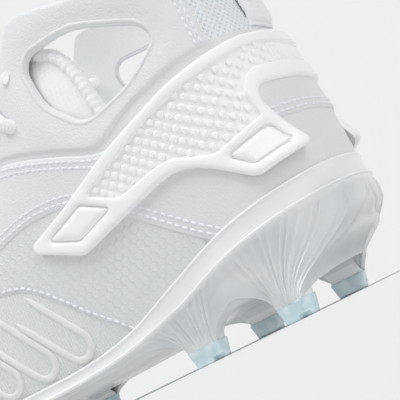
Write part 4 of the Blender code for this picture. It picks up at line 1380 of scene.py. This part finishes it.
def rim_spot(side, u, v):
    """A point of the rim: u goes along the cut-out's edge and v round the rim."""
    row = round(v * (len(RIM_PROFILE) - 1))
    spot = rim_lines[row][round(u * len(rim_line)) % len(rim_line)]
    return on_last(side * spot.x, spot.y, RIM_PROFILE[row][1] * MM)[0]


rims = []
for side in (-1, 1):
    rim = net("cut_out_rim", len(rim_line), len(RIM_PROFILE) - 1, functools.partial(rim_spot, side))
    weld(rim)
    smoothed(rim, 60)
    rim.data.materials.append(leather)
    rims.append(rim)
upper = joined([upper] + rims, "upper_skin")
dressed(upper, None, "leather", "upper")

# %% [markdown]
# ## Panels sewn on the upper
# The leather quarter and the scaled film are flat pieces, cut to an outline and sewn on. Each is a flat
# sheet with an even net, given its thickness by an extrude, with its edge rounded by rings inside
# the outline, and then wrapped on the last. A triangulation fills it and keeps the outline exact.


# %% Flat sheets
def cut_sheet(name, lines, pitch, height_at):
    """A flat sheet cut to the first line. lines are (points, height in mm), height_at gives it elsewhere."""
    points = []
    heights = []
    edges = []
    for line, height in lines:
        first = len(points)
        points += line
        heights += [height * MM] * len(line)
        edges += [(first + k, first + (k + 1) % len(line)) for k in range(len(line))]
    near = finder(points)
    outer = lines[0][0]
    low = Vector((min(p.x for p in outer), min(p.y for p in outer)))
    high = Vector((max(p.x for p in outer), max(p.y for p in outer)))
    for i in range(int((high.x - low.x) / pitch) + 1):
        for j in range(int((high.y - low.y) / pitch) + 1):
            spot = Vector((round(low.x / pitch + i) * pitch, low.y + (j + 0.5 * (i % 2)) * pitch))
            if near.find((spot.x, spot.y, 0.0))[2] > 0.55 * pitch and inside(spot, outer):
                points.append(spot)
                heights.append(height_at(spot) * MM)
    spots, _, faces, origin, _, _ = delaunay_2d_cdt(points, edges, [], 1, 1e-8)
    mesh = bpy.data.meshes.new(name)
    mesh.from_pydata([(p.x, p.y, 0.0) for p in spots], [], faces)
    piece = bpy.data.objects.new(name, mesh)
    scene.collection.objects.link(piece)
    tops = {}
    for spot, source in zip(spots, origin):
        tops[(round(spot.x, 7), round(spot.y, 7))] = heights[source[0]] if source else height_at(spot) * MM
    edit(piece, (bpy.ops.mesh.extrude_region_move, {"TRANSFORM_OT_translate": {"value": (0, 0, 1 * MM)}}))
    for vert in mesh.vertices:
        if vert.select:
            vert.co.z = tops[(round(vert.co.x, 7), round(vert.co.y, 7))]
    edit(piece, OUTWARDS)
    return piece


def rolled(line, roll):
    """Lines inside an outline, each with its height, from (depth, height) pairs in mm."""
    return [(inset(line, depth * MM), high) for depth, high in roll]


def wrapped(piece, seat, lift=None):
    """Bends a flat piece over the last, its flat place kept as its UV map."""
    mesh = piece.data
    layer = mesh.uv_layers.new(name="flat").data
    for loop in mesh.loops:
        spot = mesh.vertices[loop.vertex_index].co
        layer[loop.index].uv = (spot.x, spot.y)
    for vert in mesh.vertices:
        girth, z, high = vert.co
        off = seat + high + (lift(girth, z) if lift else 0.0)
        vert.co = on_last(girth, z, off)[0]
    smoothed(piece, 50)


def flat_line(rows, start, end, pitch=1.2):
    """Flat points along a curve of (girth, height) rows in mm."""
    count = max(2, round(abs(end - start) / pitch))
    girths = [start + (end - start) * k / count for k in range(count + 1)]
    return [Vector((g, curve(rows, g))) * MM for g in girths]


def both_sides(half):
    """A closed outline from its half on the inner side."""
    return half + [Vector((-p.x, p.y)) for p in reversed(half) if p.x > 1e-6]


def whole(half):
    """The corners of a closed outline from its half on the inner side."""
    return list(half) + [(-along, rise, radius) for along, rise, radius in reversed(half) if along > 0]


def below_wing(girth, drop):
    """Height at a distance in mm below the wing's edge."""
    _, points, far, edge = section(round(girth, 6), 1)
    return point_along(points, far, edge - drop * MM)[1]


print("sheets are cut flat and wrapped on", round(2 * GIRTH_END / MM), "mm of girth")


# %% Film and quarter
QUARTER_LOW = ((50, 29), (56, 33.5), (62.5, 38.3), (71, 45.4), (80, 53.3), (84.5, 57.5), (94, 64.2),
               (103.5, 70.2), (117, 72.6), (127.5, 72.4), (139, 70.6), (150, 69), (160, 67.8), (172, 67))
FILM_LOW = ((98, 15), (102.6, 22), (114.8, 33), (124, 42), (130.5, 48.1), (138, 52.8), (147.2, 55),
            (160, 57.5), (172, 60.5), (184, 65))
FILM_FRONT = Vector((180, 69)) * MM
FILM_REAR = [Vector((62, 26)) * MM, Vector((80, 19)) * MM]
FILM_TUCK = 4 * MM
QUARTER_FOOT = ((0, 36), (20, 35), (40, 32), (50, 29))
QUARTER_TOP = ((0, 88), (34, 87), (60, 84.5), (74, 80), (84, 80.2))
QUARTER_DROP = 2.4
HEEL_PANEL = ((0, 60.2, 0), (30, 60.2, 8), (36, 88, 3), (0, 88, 0))
FILM_ROLL = ((0.0, 0.1), (0.35, 0.4))
QUARTER_ROLL = ((0.0, 0.35), (0.3, 0.75), (0.8, 0.9))
PANEL_ROLL = ((0.0, 1.0), (0.35, 1.45), (0.9, 1.6))
LINE_PITCH = 1.2 * MM
SHEET_PITCH = 2.4 * MM
SIDES = ((-1, "outer"), (1, "inner"))


def sewn_sheet(name, line, roll, paint, slot):
    """A thin sheet with a rolled edge, level inside it, wrapped on the upper."""
    sheet = cut_sheet(name, rolled(line, roll), SHEET_PITCH, lambda spot: roll[-1][1])
    wrapped(sheet, QUARTER_WALL)
    dressed(sheet, paint, slot)


film_low = flat_line(FILM_LOW, 98, 184)
film_top = [Vector((p.x, p.y + FILM_TUCK)) for p in flat_line(QUARTER_LOW, 168, 60)]
film_line = paced(film_low + [FILM_FRONT] + film_top + FILM_REAR, LINE_PITCH)
for side, name in SIDES:
    line = [Vector((side * p.x, p.y)) for p in film_line]
    sewn_sheet("scale_film_" + name, line, FILM_ROLL, scale_film, "film")

wing_girths = [(84 + 2 * k) * MM for k in range(45)]
quarter_line = flat_line(QUARTER_TOP, 0, 80)
quarter_line += [Vector((g, below_wing(g, QUARTER_DROP))) for g in wing_girths]
quarter_line += flat_line(QUARTER_LOW, 172, 50) + flat_line(QUARTER_FOOT, 48, 0)
quarter_line = paced(both_sides(quarter_line), LINE_PITCH)
sewn_sheet("quarter", quarter_line, QUARTER_ROLL, leather, "leather")
heel_line = paced(filleted(whole(HEEL_PANEL)), LINE_PITCH)
sewn_sheet("heel_panel", heel_line, PANEL_ROLL, leather, "leather")

# %% [markdown]
# ## Heel strap
# The strap is moulded rubber. Its face has a rounded rim, a sunk field of small round pegs, and windows with
# a groove round a raised panel. All these edges are lines in the flat, each with its own height, so
# the sheet is cut with all of them at once and then wrapped. Booleans on the bent strap would leave ragged
# edges. Its rear lower corners spring away from the heel. The pegs are modelled once and copied.

# %% Heel strap
STRAP_OUTLINE = ((0, 92.3, 0), (24, 91.2, 40), (52, 85.8, 60), (80, 79.2, 80), (104, 70.8, 60),
                 (128, 63.6, 2.5), (105, 52.2, 6), (54.7, 62.1, 24), (35.3, 45.4, 5), (17.4, 48.8, 2),
                 (24.9, 67.5, 8), (23.2, 73, 4), (0, 72.6, 0))
STRAP_FIELD = ((0, 87.6, 0), (20, 87.4, 30), (57, 81, 60), (94.2, 69.6, 1), (81, 62.6, 4), (59, 65.4, 20),
               (43.5, 58, 4), (26.7, 62.8, 1), (28.6, 72, 9), (24.4, 78.8, 6), (0, 78.8, 0))
STRAP_FRONT_WINDOW = ((117.4, 63.1, 1.2), (103.6, 56.8, 4), (84.8, 61.4, 1.2), (97.8, 68.8, 3))
STRAP_REAR_WINDOW = ((41.4, 55.9, 1.5), (34.6, 49, 2.5), (22, 51.3, 1), (25.9, 60, 3))
STRAP_SEAT = 2.8 * MM
STRAP_FLARE = 3.6 * MM
OUTER_ROLL = ((0.0, 1.3), (0.12, 1.85), (0.4, 2.35), (0.85, 2.62), (1.5, 2.72))
FIELD_ROLL = ((-0.6, 2.7), (-0.2, 2.55), (0.02, 2.15), (0.16, 1.45), (0.6, 1.3))
WINDOW_ROLL = ((-0.35, 2.7), (-0.05, 2.45), (0.1, 1.35), (0.7, 1.3), (0.85, 2.1), (1.15, 2.45))
FIELD_HIGH = 1.3
PANEL_HIGH = 2.5
RIM_HIGH = 2.74


def strap_flare(girth, z):
    """How far the strap's rear lower corners spring away from the heel."""
    down = ease((60 * MM - z) / (16 * MM))
    near = ease((46 * MM - abs(girth)) / (24 * MM))
    return STRAP_FLARE * down * near


strap_line = paced(filleted(whole(STRAP_OUTLINE)), 0.9 * MM)
field_line = paced(filleted(whole(STRAP_FIELD)), 0.9 * MM)
windows = []
for corners in (STRAP_FRONT_WINDOW, STRAP_REAR_WINDOW):
    line = paced(filleted(corners), 0.7 * MM)
    windows += [line, [Vector((-p.x, p.y)) for p in line]]
strap_lines = rolled(strap_line, OUTER_ROLL) + rolled(field_line, FIELD_ROLL)
for line in windows:
    strap_lines += rolled(line, WINDOW_ROLL)


def strap_height(spot):
    """Height in mm of the strap's face: the sunk field, a window's panel or the rim."""
    if inside(spot, field_line):
        return FIELD_HIGH
    if any(inside(spot, line) for line in windows):
        return PANEL_HIGH
    return RIM_HIGH


strap = cut_sheet("heel_strap_face", strap_lines, 1.9 * MM, strap_height)
wrapped(strap, STRAP_SEAT, strap_flare)
print("strap", len(strap.data.polygons), "faces")


# %% Pegs and ribs on the strap
PEG_PITCH = 3.36 * MM
PEG_LEAN = math.radians(41)
PEG_FIRST = Vector((46.7, 77.3)) * MM
PEG_TALL = 1.5 * MM
PEG_LEAST_GIRTH = 13.5 * MM
PEG_APART = 0.55 * MM
PEG_ROWS = 60
FIELD_SEAT = STRAP_SEAT + FIELD_HIGH * MM
RIB_SIZE = (0.75 * MM, 3.9 * MM, 0.8 * MM, 1.0)
RIB_PITCH = 2.3 * MM
RIB_Z = 83.2 * MM


def copies(base, stands, name):
    """One mesh of many copies of a base piece, each put at its own stand."""
    points = []
    faces = []
    shape = [vert.co.copy() for vert in base.data.vertices]
    sides = [tuple(face.vertices) for face in base.data.polygons]
    for stand in stands:
        first = len(points)
        points += [stand @ co for co in shape]
        faces += [tuple(first + k for k in side) for side in sides]
    mesh = bpy.data.meshes.new(name)
    mesh.from_pydata(points, [], faces)
    piece = bpy.data.objects.new(name, mesh)
    scene.collection.objects.link(piece)
    smoothed(piece, 60)
    bpy.data.objects.remove(base)
    return piece


def stand_on(girth, z, off, to=None):
    """A frame on the last: Z out of it, X along it towards another flat place, or level without one."""
    spot, normal = on_last(girth, z, off)
    aim = on_last(*(to or (girth + 0.5 * MM, z)), off)[0]
    run = (aim - spot).normalized()
    across = normal.cross(run).normalized()
    run = across.cross(normal)
    return Matrix.Translation(spot) @ Matrix((run, across, normal)).transposed().to_4x4()


bpy.ops.object.select_all(action="DESELECT")
bpy.ops.mesh.primitive_cone_add(vertices=16, radius1=1.34 * MM, radius2=1.12 * MM, depth=PEG_TALL)
peg = bpy.context.object
bevel_edges(peg, lambda a, b: min(a.z, b.z) > 0.4 * MM, 0.32 * MM, 3)
peg.data.transform(Matrix.Translation((0, 0, 0.15 * MM)))
field_near = finder(field_line)
peg_turn = Matrix.Rotation(PEG_LEAN, 2)
peg_stands = []
for side in (-1, 1):
    for i in range(-PEG_ROWS, PEG_ROWS + 1):
        for j in range(-PEG_ROWS, PEG_ROWS + 1):
            spot = PEG_FIRST + peg_turn @ Vector((i, j)) * PEG_PITCH
            if spot.x < PEG_LEAST_GIRTH or not inside(spot, field_line):
                continue
            if field_near.find((spot.x, spot.y, 0.0))[2] > PEG_APART:
                seat = FIELD_SEAT + strap_flare(spot.x, spot.y)
                peg_stands.append(stand_on(side * spot.x, spot.y, seat))
pegs = copies(peg, peg_stands, "strap_pegs")
bpy.ops.object.select_all(action="DESELECT")
bpy.ops.mesh.primitive_uv_sphere_add(segments=12, ring_count=8, radius=1.0)
rib = bpy.context.object
rib.data.transform(Matrix.Diagonal(RIB_SIZE))
rib_stands = [stand_on(k * RIB_PITCH, RIB_Z, FIELD_SEAT) for k in range(-5, 6)]
ribs = copies(rib, rib_stands, "strap_ribs")
strap = joined([strap, pegs, ribs], "strap")
dressed(strap, rubber, "strap", "heel_strap")
print(len(peg_stands), "pegs and", len(rib_stands), "ribs")

# %% [markdown]
# ## Welts on the vamp
# Low U-shaped bands of film lie on the forefoot. A bevelled curve could draw them, but it wouldn't bend with
# the last. So each is a net rolled into a half-round strip that follows its loop in the flat, and every point
# is laid on the last.

# %% Welts
WELT_LEAN = math.radians(38)
WELT_HALF = 5.2 * MM
WELT_ARM = 27 * MM
WELT_TURN_Z = 26 * MM
WELT_FIRST = 125 * MM
WELT_PITCH = 17 * MM
WELT_STEPS = 20


def welt_path(girth):
    """Flat points along one welt's loop: down one arm, round the turn and up the other."""
    lean = Vector((math.sin(WELT_LEAN), math.cos(WELT_LEAN)))
    across = Vector((lean.y, -lean.x))
    middle = Vector((girth, WELT_TURN_Z))
    arm = [lean * WELT_ARM * k / WELT_STEPS for k in range(1, WELT_STEPS + 1)]
    path = [middle + across * WELT_HALF + up for up in reversed(arm)]
    for k in range(WELT_STEPS + 1):
        turn = math.pi * k / WELT_STEPS
        path.append(middle + (across * math.cos(turn) - lean * math.sin(turn)) * WELT_HALF)
    return path + [middle - across * WELT_HALF + up for up in arm]


def welt_spot(side, path, u, v):
    """A point of a welt: u goes round its half-round section and v along its loop."""
    n = round(v * (len(path) - 1))
    run = path[min(n + 1, len(path) - 1)] - path[max(n - 1, 0)]
    across = Vector((run.y, -run.x)).normalized()
    taper = min(1.0, 0.25 + 0.75 * min(n, len(path) - 1 - n) / 4)
    turn = 2 * math.pi * u
    high = (0.1 + max(math.sin(turn), -0.4) * 0.6) * MM * taper
    spot = path[n] + across * math.cos(turn) * 1.35 * MM * taper
    return on_last(side * spot.x, spot.y, QUARTER_WALL + high)[0]


for side, name in SIDES:
    for k in range(4):
        path = welt_path(WELT_FIRST + k * WELT_PITCH)
        title = f"welt_{name}_{k + 1}"
        welt = net(title, 14, len(path) - 1, functools.partial(welt_spot, side, path))
        capped(welt)
        smoothed(welt, 60)
        dressed(welt, welt_film, "film", "vamp_" + title)

# %% [markdown]
# ## Tongue and its gathered binding
# The tongue is a wide padded sheet under the throat. Its outer side reaches round to the ankle cut-out,
# where it shows. A cloth simulation could drape it, but the shoe holds it, so a coarse net takes its place
# under the upper, Solidify pads it, and Subdivision Surface rounds it off. Its top edge is bound with
# a stretch knit that gathers into small ribs: a tube along the edge whose radius swells and shrinks.

# %% Tongue
TONGUE_OUTER_TOP = ((0, 104), (0.2, 102), (0.33, 96.5), (0.44, 89), (0.575, 77.5), (0.655, 71),
                    (0.79, 65.3), (1, 61.5))
TONGUE_INNER_TOP = ((0, 104), (0.2, 107), (0.4, 110), (0.6, 111), (0.8, 108), (1, 104))
TONGUE_TOE_END = 192 * MM
TONGUE_SIDE_Z = ((60, 88), (78, 84), (92, 80), (108, 74), (128, 68), (155, 62), (192, 58))
TONGUE_THICK = 3.2 * MM
TONGUE_DIP = 0.13
TONGUE_PAST_EDGE = 0.03


@functools.lru_cache(maxsize=None)
def whole_section(station, side):
    """The last's section at a place along the foot, not cut by collar or throat."""
    plane = plane_at(round(HEEL_ARC - HEEL_AXIS + station, 6), side)
    points = plane.outline()
    return plane, points, lengths_along(points)


def ridge_point(station, way):
    """The last's surface by its place along the foot and the way round from the ridge."""
    plane, points, far = whole_section(round(station, 5), -1 if way < 0 else 1)
    return plane.place(*point_along(points, far, far[-1] - abs(way)))


def over_last(station, way, off):
    """A point off the last's surface near its ridge, and the surface's normal."""
    nudge = 2 * MM
    ahead = ridge_point(station + nudge, way) - ridge_point(station - nudge, way)
    across = ridge_point(station, way + nudge) - ridge_point(station, way - nudge)
    normal = across.cross(ahead).normalized()
    return ridge_point(station, way) + normal * off, normal


def way_from_ridge(station, z):
    """How far round from the ridge the last's side reaches a height."""
    _, points, far = whole_section(round(station, 5), 1)
    k = next(k for k, point in enumerate(points) if point[1] >= z)
    share = (z - points[k - 1][1]) / (points[k][1] - points[k - 1][1])
    return far[-1] - far[k - 1] - share * (far[k] - far[k - 1])


def tongue_spot(share, along, depth):
    """A point under the upper: share is 0 in the middle, 1 at the inner edge and -1 at the outer edge."""
    start = curve(TONGUE_OUTER_TOP if share < 0 else TONGUE_INNER_TOP, abs(share)) * MM
    station = start + (TONGUE_TOE_END - start) * along
    low = curve(TONGUE_SIDE_Z, station / MM) * MM
    return over_last(station, share * way_from_ridge(station, low), -depth)[0]


def tongue_depth(v):
    """The tongue dips under its binding along the top edge."""
    return (0.7 + 1.8 * ease(1 - v / TONGUE_DIP)) * MM


def pad_spot(u, v):
    """A point of the tongue's net, which starts a little past the binding."""
    return tongue_spot(2 * u - 1, v * (1 + TONGUE_PAST_EDGE) - TONGUE_PAST_EDGE, tongue_depth(v))


tongue = net("tongue_pad", 24, 16, pad_spot)
facing(tongue, (0, 0, 1))
modified(tongue, "SOLIDIFY", thickness=TONGUE_THICK, offset=-1.0)
modified(tongue, "SUBSURF", levels=2, render_levels=2)
smoothed(tongue, 60)
dressed(tongue, tongue_mesh, "knit", "tongue")


# %% Binding
BINDING_RADIUS = 2.9 * MM
BINDING_DEPTH = 3.5 * MM
BINDING_OVER = 0.6 * MM
BINDING_PLEAT = 2.1 * MM
BINDING_MARKS = 52
BINDING_STEPS = 520


def smooth_path(points, count):
    """A Catmull-Rom curve through points, at count + 1 even shares."""
    made = []
    for n in range(count + 1):
        at = n / count * (len(points) - 1)
        k = min(int(at), len(points) - 2)
        t = at - k
        p0, p1, p2, p3 = (points[min(max(k + d, 0), len(points) - 1)] for d in (-1, 0, 1, 2))
        made.append(0.5 * (2 * p1 + (p2 - p0) * t + (2 * p0 - 5 * p1 + 4 * p2 - p3) * t * t
                           + (3 * p1 - p0 - 3 * p2 + p3) * t * t * t))
    return made


def cord_net(name, path, normals, around, radius):
    """A tube along a path: radius(turn, n) gives its reach across and along the normal at each point."""
    frames = []
    for n, spot in enumerate(path):
        run = (path[min(n + 1, len(path) - 1)] - path[max(n - 1, 0)]).normalized()
        across = run.cross(normals[n]).normalized()
        frames.append((spot, across, across.cross(run)))

    def spot_at(u, v):
        n = round(v * (len(path) - 1))
        spot, across, rise = frames[n]
        a, b = radius(2 * math.pi * u, n)
        return spot + across * a + rise * b

    piece = net(name, around, len(path) - 1, spot_at)
    capped(piece)
    smoothed(piece, 70)
    return piece


def path_length(path):
    """Length along a line of points."""
    return sum((b - a).length for a, b in zip(path, path[1:]))


shares = [(2 * k / BINDING_MARKS - 1) * 0.97 for k in range(BINDING_MARKS + 1)]
top_edge = [tongue_spot(share, 0.0, BINDING_DEPTH) for share in shares]
edge_points = []
for k, (share, edge) in enumerate(zip(shares, top_edge)):
    run = (top_edge[min(k + 1, BINDING_MARKS)] - top_edge[max(k - 1, 0)]).normalized()
    back = edge - tongue_spot(share, 0.06, BINDING_DEPTH)
    back = (back - run * back.dot(run)).normalized()
    edge_points.append(edge + back * (BINDING_RADIUS + BINDING_OVER))
binding_path = smooth_path(edge_points, BINDING_STEPS)
centre = sum(binding_path, Vector()) / len(binding_path)
binding_normals = [(spot - centre).normalized() for spot in binding_path]
pleat_turn = 2 * math.pi * path_length(binding_path) / BINDING_PLEAT / BINDING_STEPS


def gathered(turn, n):
    """The binding's section: it swells and shrinks with the pleats and tapers at both ends."""
    pleat = 0.045 * math.sin(pleat_turn * n + 0.6 * math.sin(turn * 2))
    pleat += 0.025 * math.sin(pleat_turn * n * 0.43)
    taper = min(1.0, 0.3 + min(n, BINDING_STEPS - n) / 8)
    full = BINDING_RADIUS * (0.87 + pleat) * taper
    return math.cos(turn) * full, math.sin(turn) * full


binding = cord_net("binding", binding_path, binding_normals, 18, gathered)
dressed(binding, binding_knit, "knit", "tongue_binding")

# %% [markdown]
# ## Insole
# A thin foam sheet covered with cloth, seen down the collar and through the cut-outs. On a flat bed
# a cut plane would do. This bed rises at the heel and the toe, so a net runs round the foot and follows it.

# %% Insole
INSOLE_ROWS = ((0.0, 0.0), (0.6, 0.0), (0.97, 0.0), (1.0, 0.25), (1.0, 0.7), (0.985, 0.93), (0.96, 1.0),
               (0.6, 1.0), (0.0, 1.0))
INSOLE_THICK = 3.2 * MM


def insole_spot(u, v):
    """A point of the insole: u goes round the foot and v from its underside round its edge to its top."""
    girth, side = ring_spot(u)
    plane = plane_at(round(girth, 6), side)
    share, rise = INSOLE_ROWS[round(v * (len(INSOLE_ROWS) - 1))]
    wide = (plane.width(plane.bed) - GAP) * share
    return plane.place(wide, last("bed", plane.station + plane.out[0] * wide) + rise * INSOLE_THICK)


insole = net("insole_sheet", 200, len(INSOLE_ROWS) - 1, insole_spot)
weld(insole)
smoothed(insole, 50)
dressed(insole, foam_cloth, "foam", "insole")

# %% [markdown]
# ## Pull tab
# A strip of ribbed webbing, folded over at the top and sewn to the back of the heel. Bump alone would leave
# its outline straight, so the ribs are waves in its net. Solidify makes it thick and Bevel softens its edge.

# %% Pull tab
TAB_LOW = 96
TAB_TALL = 36.6
TAB_WIDE = 17.6 * MM
TAB_SEAT = 1.9
TAB_RIB = 0.14
TAB_RIBS = 37 / 2.3
TAB_SUNK = 2.2
TAB_ROWS = 74


def tab_spot(u, v):
    """A point of the tab: its foot sinks into the upper and its fold stands out a little."""
    rib_wave = TAB_RIB * math.sin(2 * math.pi * v * TAB_RIBS)
    crown = 0.5 * ease((v - 0.9) / 0.1) * (1 - ease((v - 0.97) / 0.03))
    foot = TAB_SUNK * (1 - ease(v / 0.12))
    off = QUARTER_WALL + (TAB_SEAT + rib_wave + crown - foot) * MM
    return on_last((u - 0.5) * TAB_WIDE, (TAB_LOW + TAB_TALL * v) * MM, off)[0]


tab = net("heel_tab", 20, TAB_ROWS, tab_spot)
facing(tab, (1, 0, 0))
modified(tab, "SOLIDIFY", thickness=2.4 * MM, offset=0.0)
modified(tab, "BEVEL", width=0.5 * MM, segments=3, limit_method="ANGLE", angle_limit=math.radians(50))
smoothed(tab, 50)
dressed(tab, webbing, "webbing", "pull_tab")

# %% [markdown]
# ## Lacing
# The lace crosses over the tongue from eyelet to eyelet. Each strand comes up through an eyelet, lies over
# its own edge of the throat, crosses the tongue and goes in under the other edge, up to the next eyelet.
# It is held by the shoe all the way, so it isn't a loose cord. A bevelled curve could draw a strand, but
# a net along its path lets the lace bunch up where it enters an eyelet. The throat's eyelets have a low rim.

# %% Eyelets
WING_EYELETS = ((90, 126.5), (93.5, 107))
THROAT_EYELETS = (109, 125, 142, 159)
EYELET_SETBACK = 9 * MM


def eyelet_places():
    """(station, way from the ridge, girth, height) of each eyelet on one side, top to toe."""
    spots = [(station * MM, z * MM) for station, z in WING_EYELETS]
    for station in THROAT_EYELETS:
        _, points, far, _ = section(round(HEEL_ARC - HEEL_AXIS + station * MM, 6), -1)
        spots.append((station * MM, point_along(points, far, far[-1] - EYELET_SETBACK)[1]))
    return [(station, way_from_ridge(station, z), HEEL_ARC - HEEL_AXIS + station, z) for station, z in spots]


eyelets = eyelet_places()
bpy.ops.object.select_all(action="DESELECT")
bpy.ops.mesh.primitive_torus_add(major_radius=3.1 * MM, minor_radius=0.35 * MM, major_segments=28,
                                 minor_segments=10)
ring_base = bpy.context.object
ring_base.data.transform(Matrix.Diagonal((1.0, 1.0, 0.3, 1.0)))
ring_stands = []
for _, _, girth, z in eyelets[len(WING_EYELETS):]:
    ring_stands += [stand_on(side * girth, z, WING_WALL + 0.1 * MM) for side in (-1, 1)]
eyelet_rings = copies(ring_base, ring_stands, "eyelet_rings")
dressed(eyelet_rings, leather, "leather")

# %% Lace
LACE_WIDE = 2.9 * MM
LACE_HIGH = 1.4 * MM
STRAND_STEPS = 60
BUNCH_STEPS = 7
OFF_START = ((0.0, -2.4), (0.02, 2.4), (0.05, 4.9), (0.12, 5.1), (0.26, 4.9), (0.42, 2.6), (0.58, 2.6),
             (0.70, 0.2), (0.78, -2.6), (1.0, -2.9))
OFF_OVER = ((0.0, -2.4), (0.02, 2.4), (0.05, 4.9), (0.12, 5.1), (0.26, 5.0), (0.42, 5.3), (0.58, 5.0),
            (0.70, 1.0), (0.78, -2.6), (1.0, -2.9))
LAST_RISE = ((0.95, -2.9), (0.98, 1.5), (1.0, 4.4))
OFF_BAR = ((0.0, -2.4), (0.04, 1.0), (0.09, 4.6), (0.16, 5.0), (0.3, 3.2), (0.5, 2.2), (0.7, 3.2),
           (0.84, 5.0), (0.91, 4.6), (0.96, 1.0), (1.0, -2.4))
strands = []
lace_lengths = []


def crossing(low, high, side):
    """The place along the foot where the shortest way from eyelet to eyelet goes over the ridge."""
    a = ridge_point(low[0], side * low[1])
    b = ridge_point(high[0], -side * high[1])
    tops = [(low[0] + high[0]) / 2 + k * MM for k in range(-4, 26)]
    return min(tops, key=lambda s: (ridge_point(s, 0.0) - a).length + (b - ridge_point(s, 0.0)).length)


def strand(low, high, side, profile):
    """Lays a strand from an eyelet on one side over the throat to an eyelet on the other."""
    path = []
    normals = []
    over = crossing(low, high, side)
    for k in range(STRAND_STEPS + 1):
        t = k / STRAND_STEPS
        end = low if t < 0.5 else high
        station = end[0] + (over - end[0]) * math.sin(math.pi * t)
        way = side * (low[1] * max(1 - 2 * t, 0.0) - high[1] * max(2 * t - 1, 0.0))
        spot, normal = over_last(station, way, curve(profile, t) * MM)
        path.append(spot)
        normals.append(normal)

    def oval(turn, n):
        bunch = 1 - ease(min(n, STRAND_STEPS - n) / BUNCH_STEPS)
        wide = LACE_WIDE * (1 - 0.12 * bunch)
        thick = LACE_HIGH * (1 + 0.7 * bunch)
        return math.cos(turn) * wide, math.sin(turn) * thick

    lace_lengths.append(path_length(path))
    strands.append(cord_net("strand", path, normals, 14, oval))


for row, (low, high) in enumerate(zip(eyelets, eyelets[1:])):
    end = LAST_RISE if row == 0 else OFF_START[-1:]
    strand(high, low, -1, OFF_START[:-1] + end)
    strand(high, low, 1, OFF_OVER[:-1] + end)
strand(eyelets[-1], eyelets[-1], -1, OFF_BAR)
lace = joined(strands, "lace_strands")
dressed(lace, lace_weave, "cord", "lace")
print(len(lace_lengths), "strands,", round(sum(lace_lengths), 3), "m of lace")

# %% [markdown]
# ## Stitches
# Every seam is sewn with a thick thread. A dashed pattern in the leather would look flat in this light,
# so one stitch is modelled, a small ball pulled long, and copied along each seam.

# %% Stitches
SEAM_LOW = ((53, 34), (60.5, 39.2), (69.2, 46.6), (78.1, 54.4), (82.7, 58.6), (92, 65.4), (102.2, 71.4),
            (116.5, 74.2), (127.3, 74), (139.3, 72.2), (150, 70.7), (168, 69))
STITCH_PITCH = 2.9 * MM
STITCH_SIZE = (1.2 * MM, 0.52 * MM, 0.56 * MM, 1.0)
HEEL_SEAM_Z = 61.8
HEEL_SEAM_OFF = 3.75 * MM


def seam(points, gap):
    """Stitch places along a flat line that is moved sideways by a gap in mm."""
    moved = []
    for k, point in enumerate(points):
        run = (points[min(k + 1, len(points) - 1)] - points[max(k - 1, 0)]).normalized()
        moved.append(point + Vector((-run.y, run.x)) * gap * MM)
    return paced(moved, STITCH_PITCH, closed=False)


seam_girths = [(84 + 3 * k) * MM for k in range(29)]
top_line = [Vector((g, below_wing(g, QUARTER_DROP))) for g in seam_girths]
low_line = flat_line(SEAM_LOW, 53, 168)
loop_line = flat_line(FILM_LOW, 101, 182)
knit_line = [Vector((32, z)) * MM for z in range(95, 123, 2)]
seam_rows = (
    (top_line, (-1.9, -4.1), 3.05),
    (low_line, (0.3, 2.6), 3.05),
    (loop_line, (1.5,), 2.58),
    (knit_line, (-0.4, -2.4), 3.18),
)
stitch_stands = []
for points, gaps, off in seam_rows:
    for gap in gaps:
        line = seam(points, gap)
        for side in (-1, 1):
            for a, b in zip(line, line[1:]):
                stitch_stands.append(stand_on(side * a.x, a.y, off * MM, (side * b.x, b.y)))
for gap in (0.0, 2.2):
    z = (HEEL_SEAM_Z + gap) * MM
    for k in range(-26, 26, 2):
        stitch_stands.append(stand_on(k * MM, z, HEEL_SEAM_OFF, ((k + 2) * MM, z)))
bpy.ops.object.select_all(action="DESELECT")
bpy.ops.mesh.primitive_uv_sphere_add(segments=8, ring_count=6, radius=1.0)
stitch = bpy.context.object
stitch.data.transform(Matrix.Diagonal(STITCH_SIZE))
stitches = copies(stitch, stitch_stands, "stitches")
dressed(stitches, thread, "leather")
print(len(stitch_stands), "stitches")
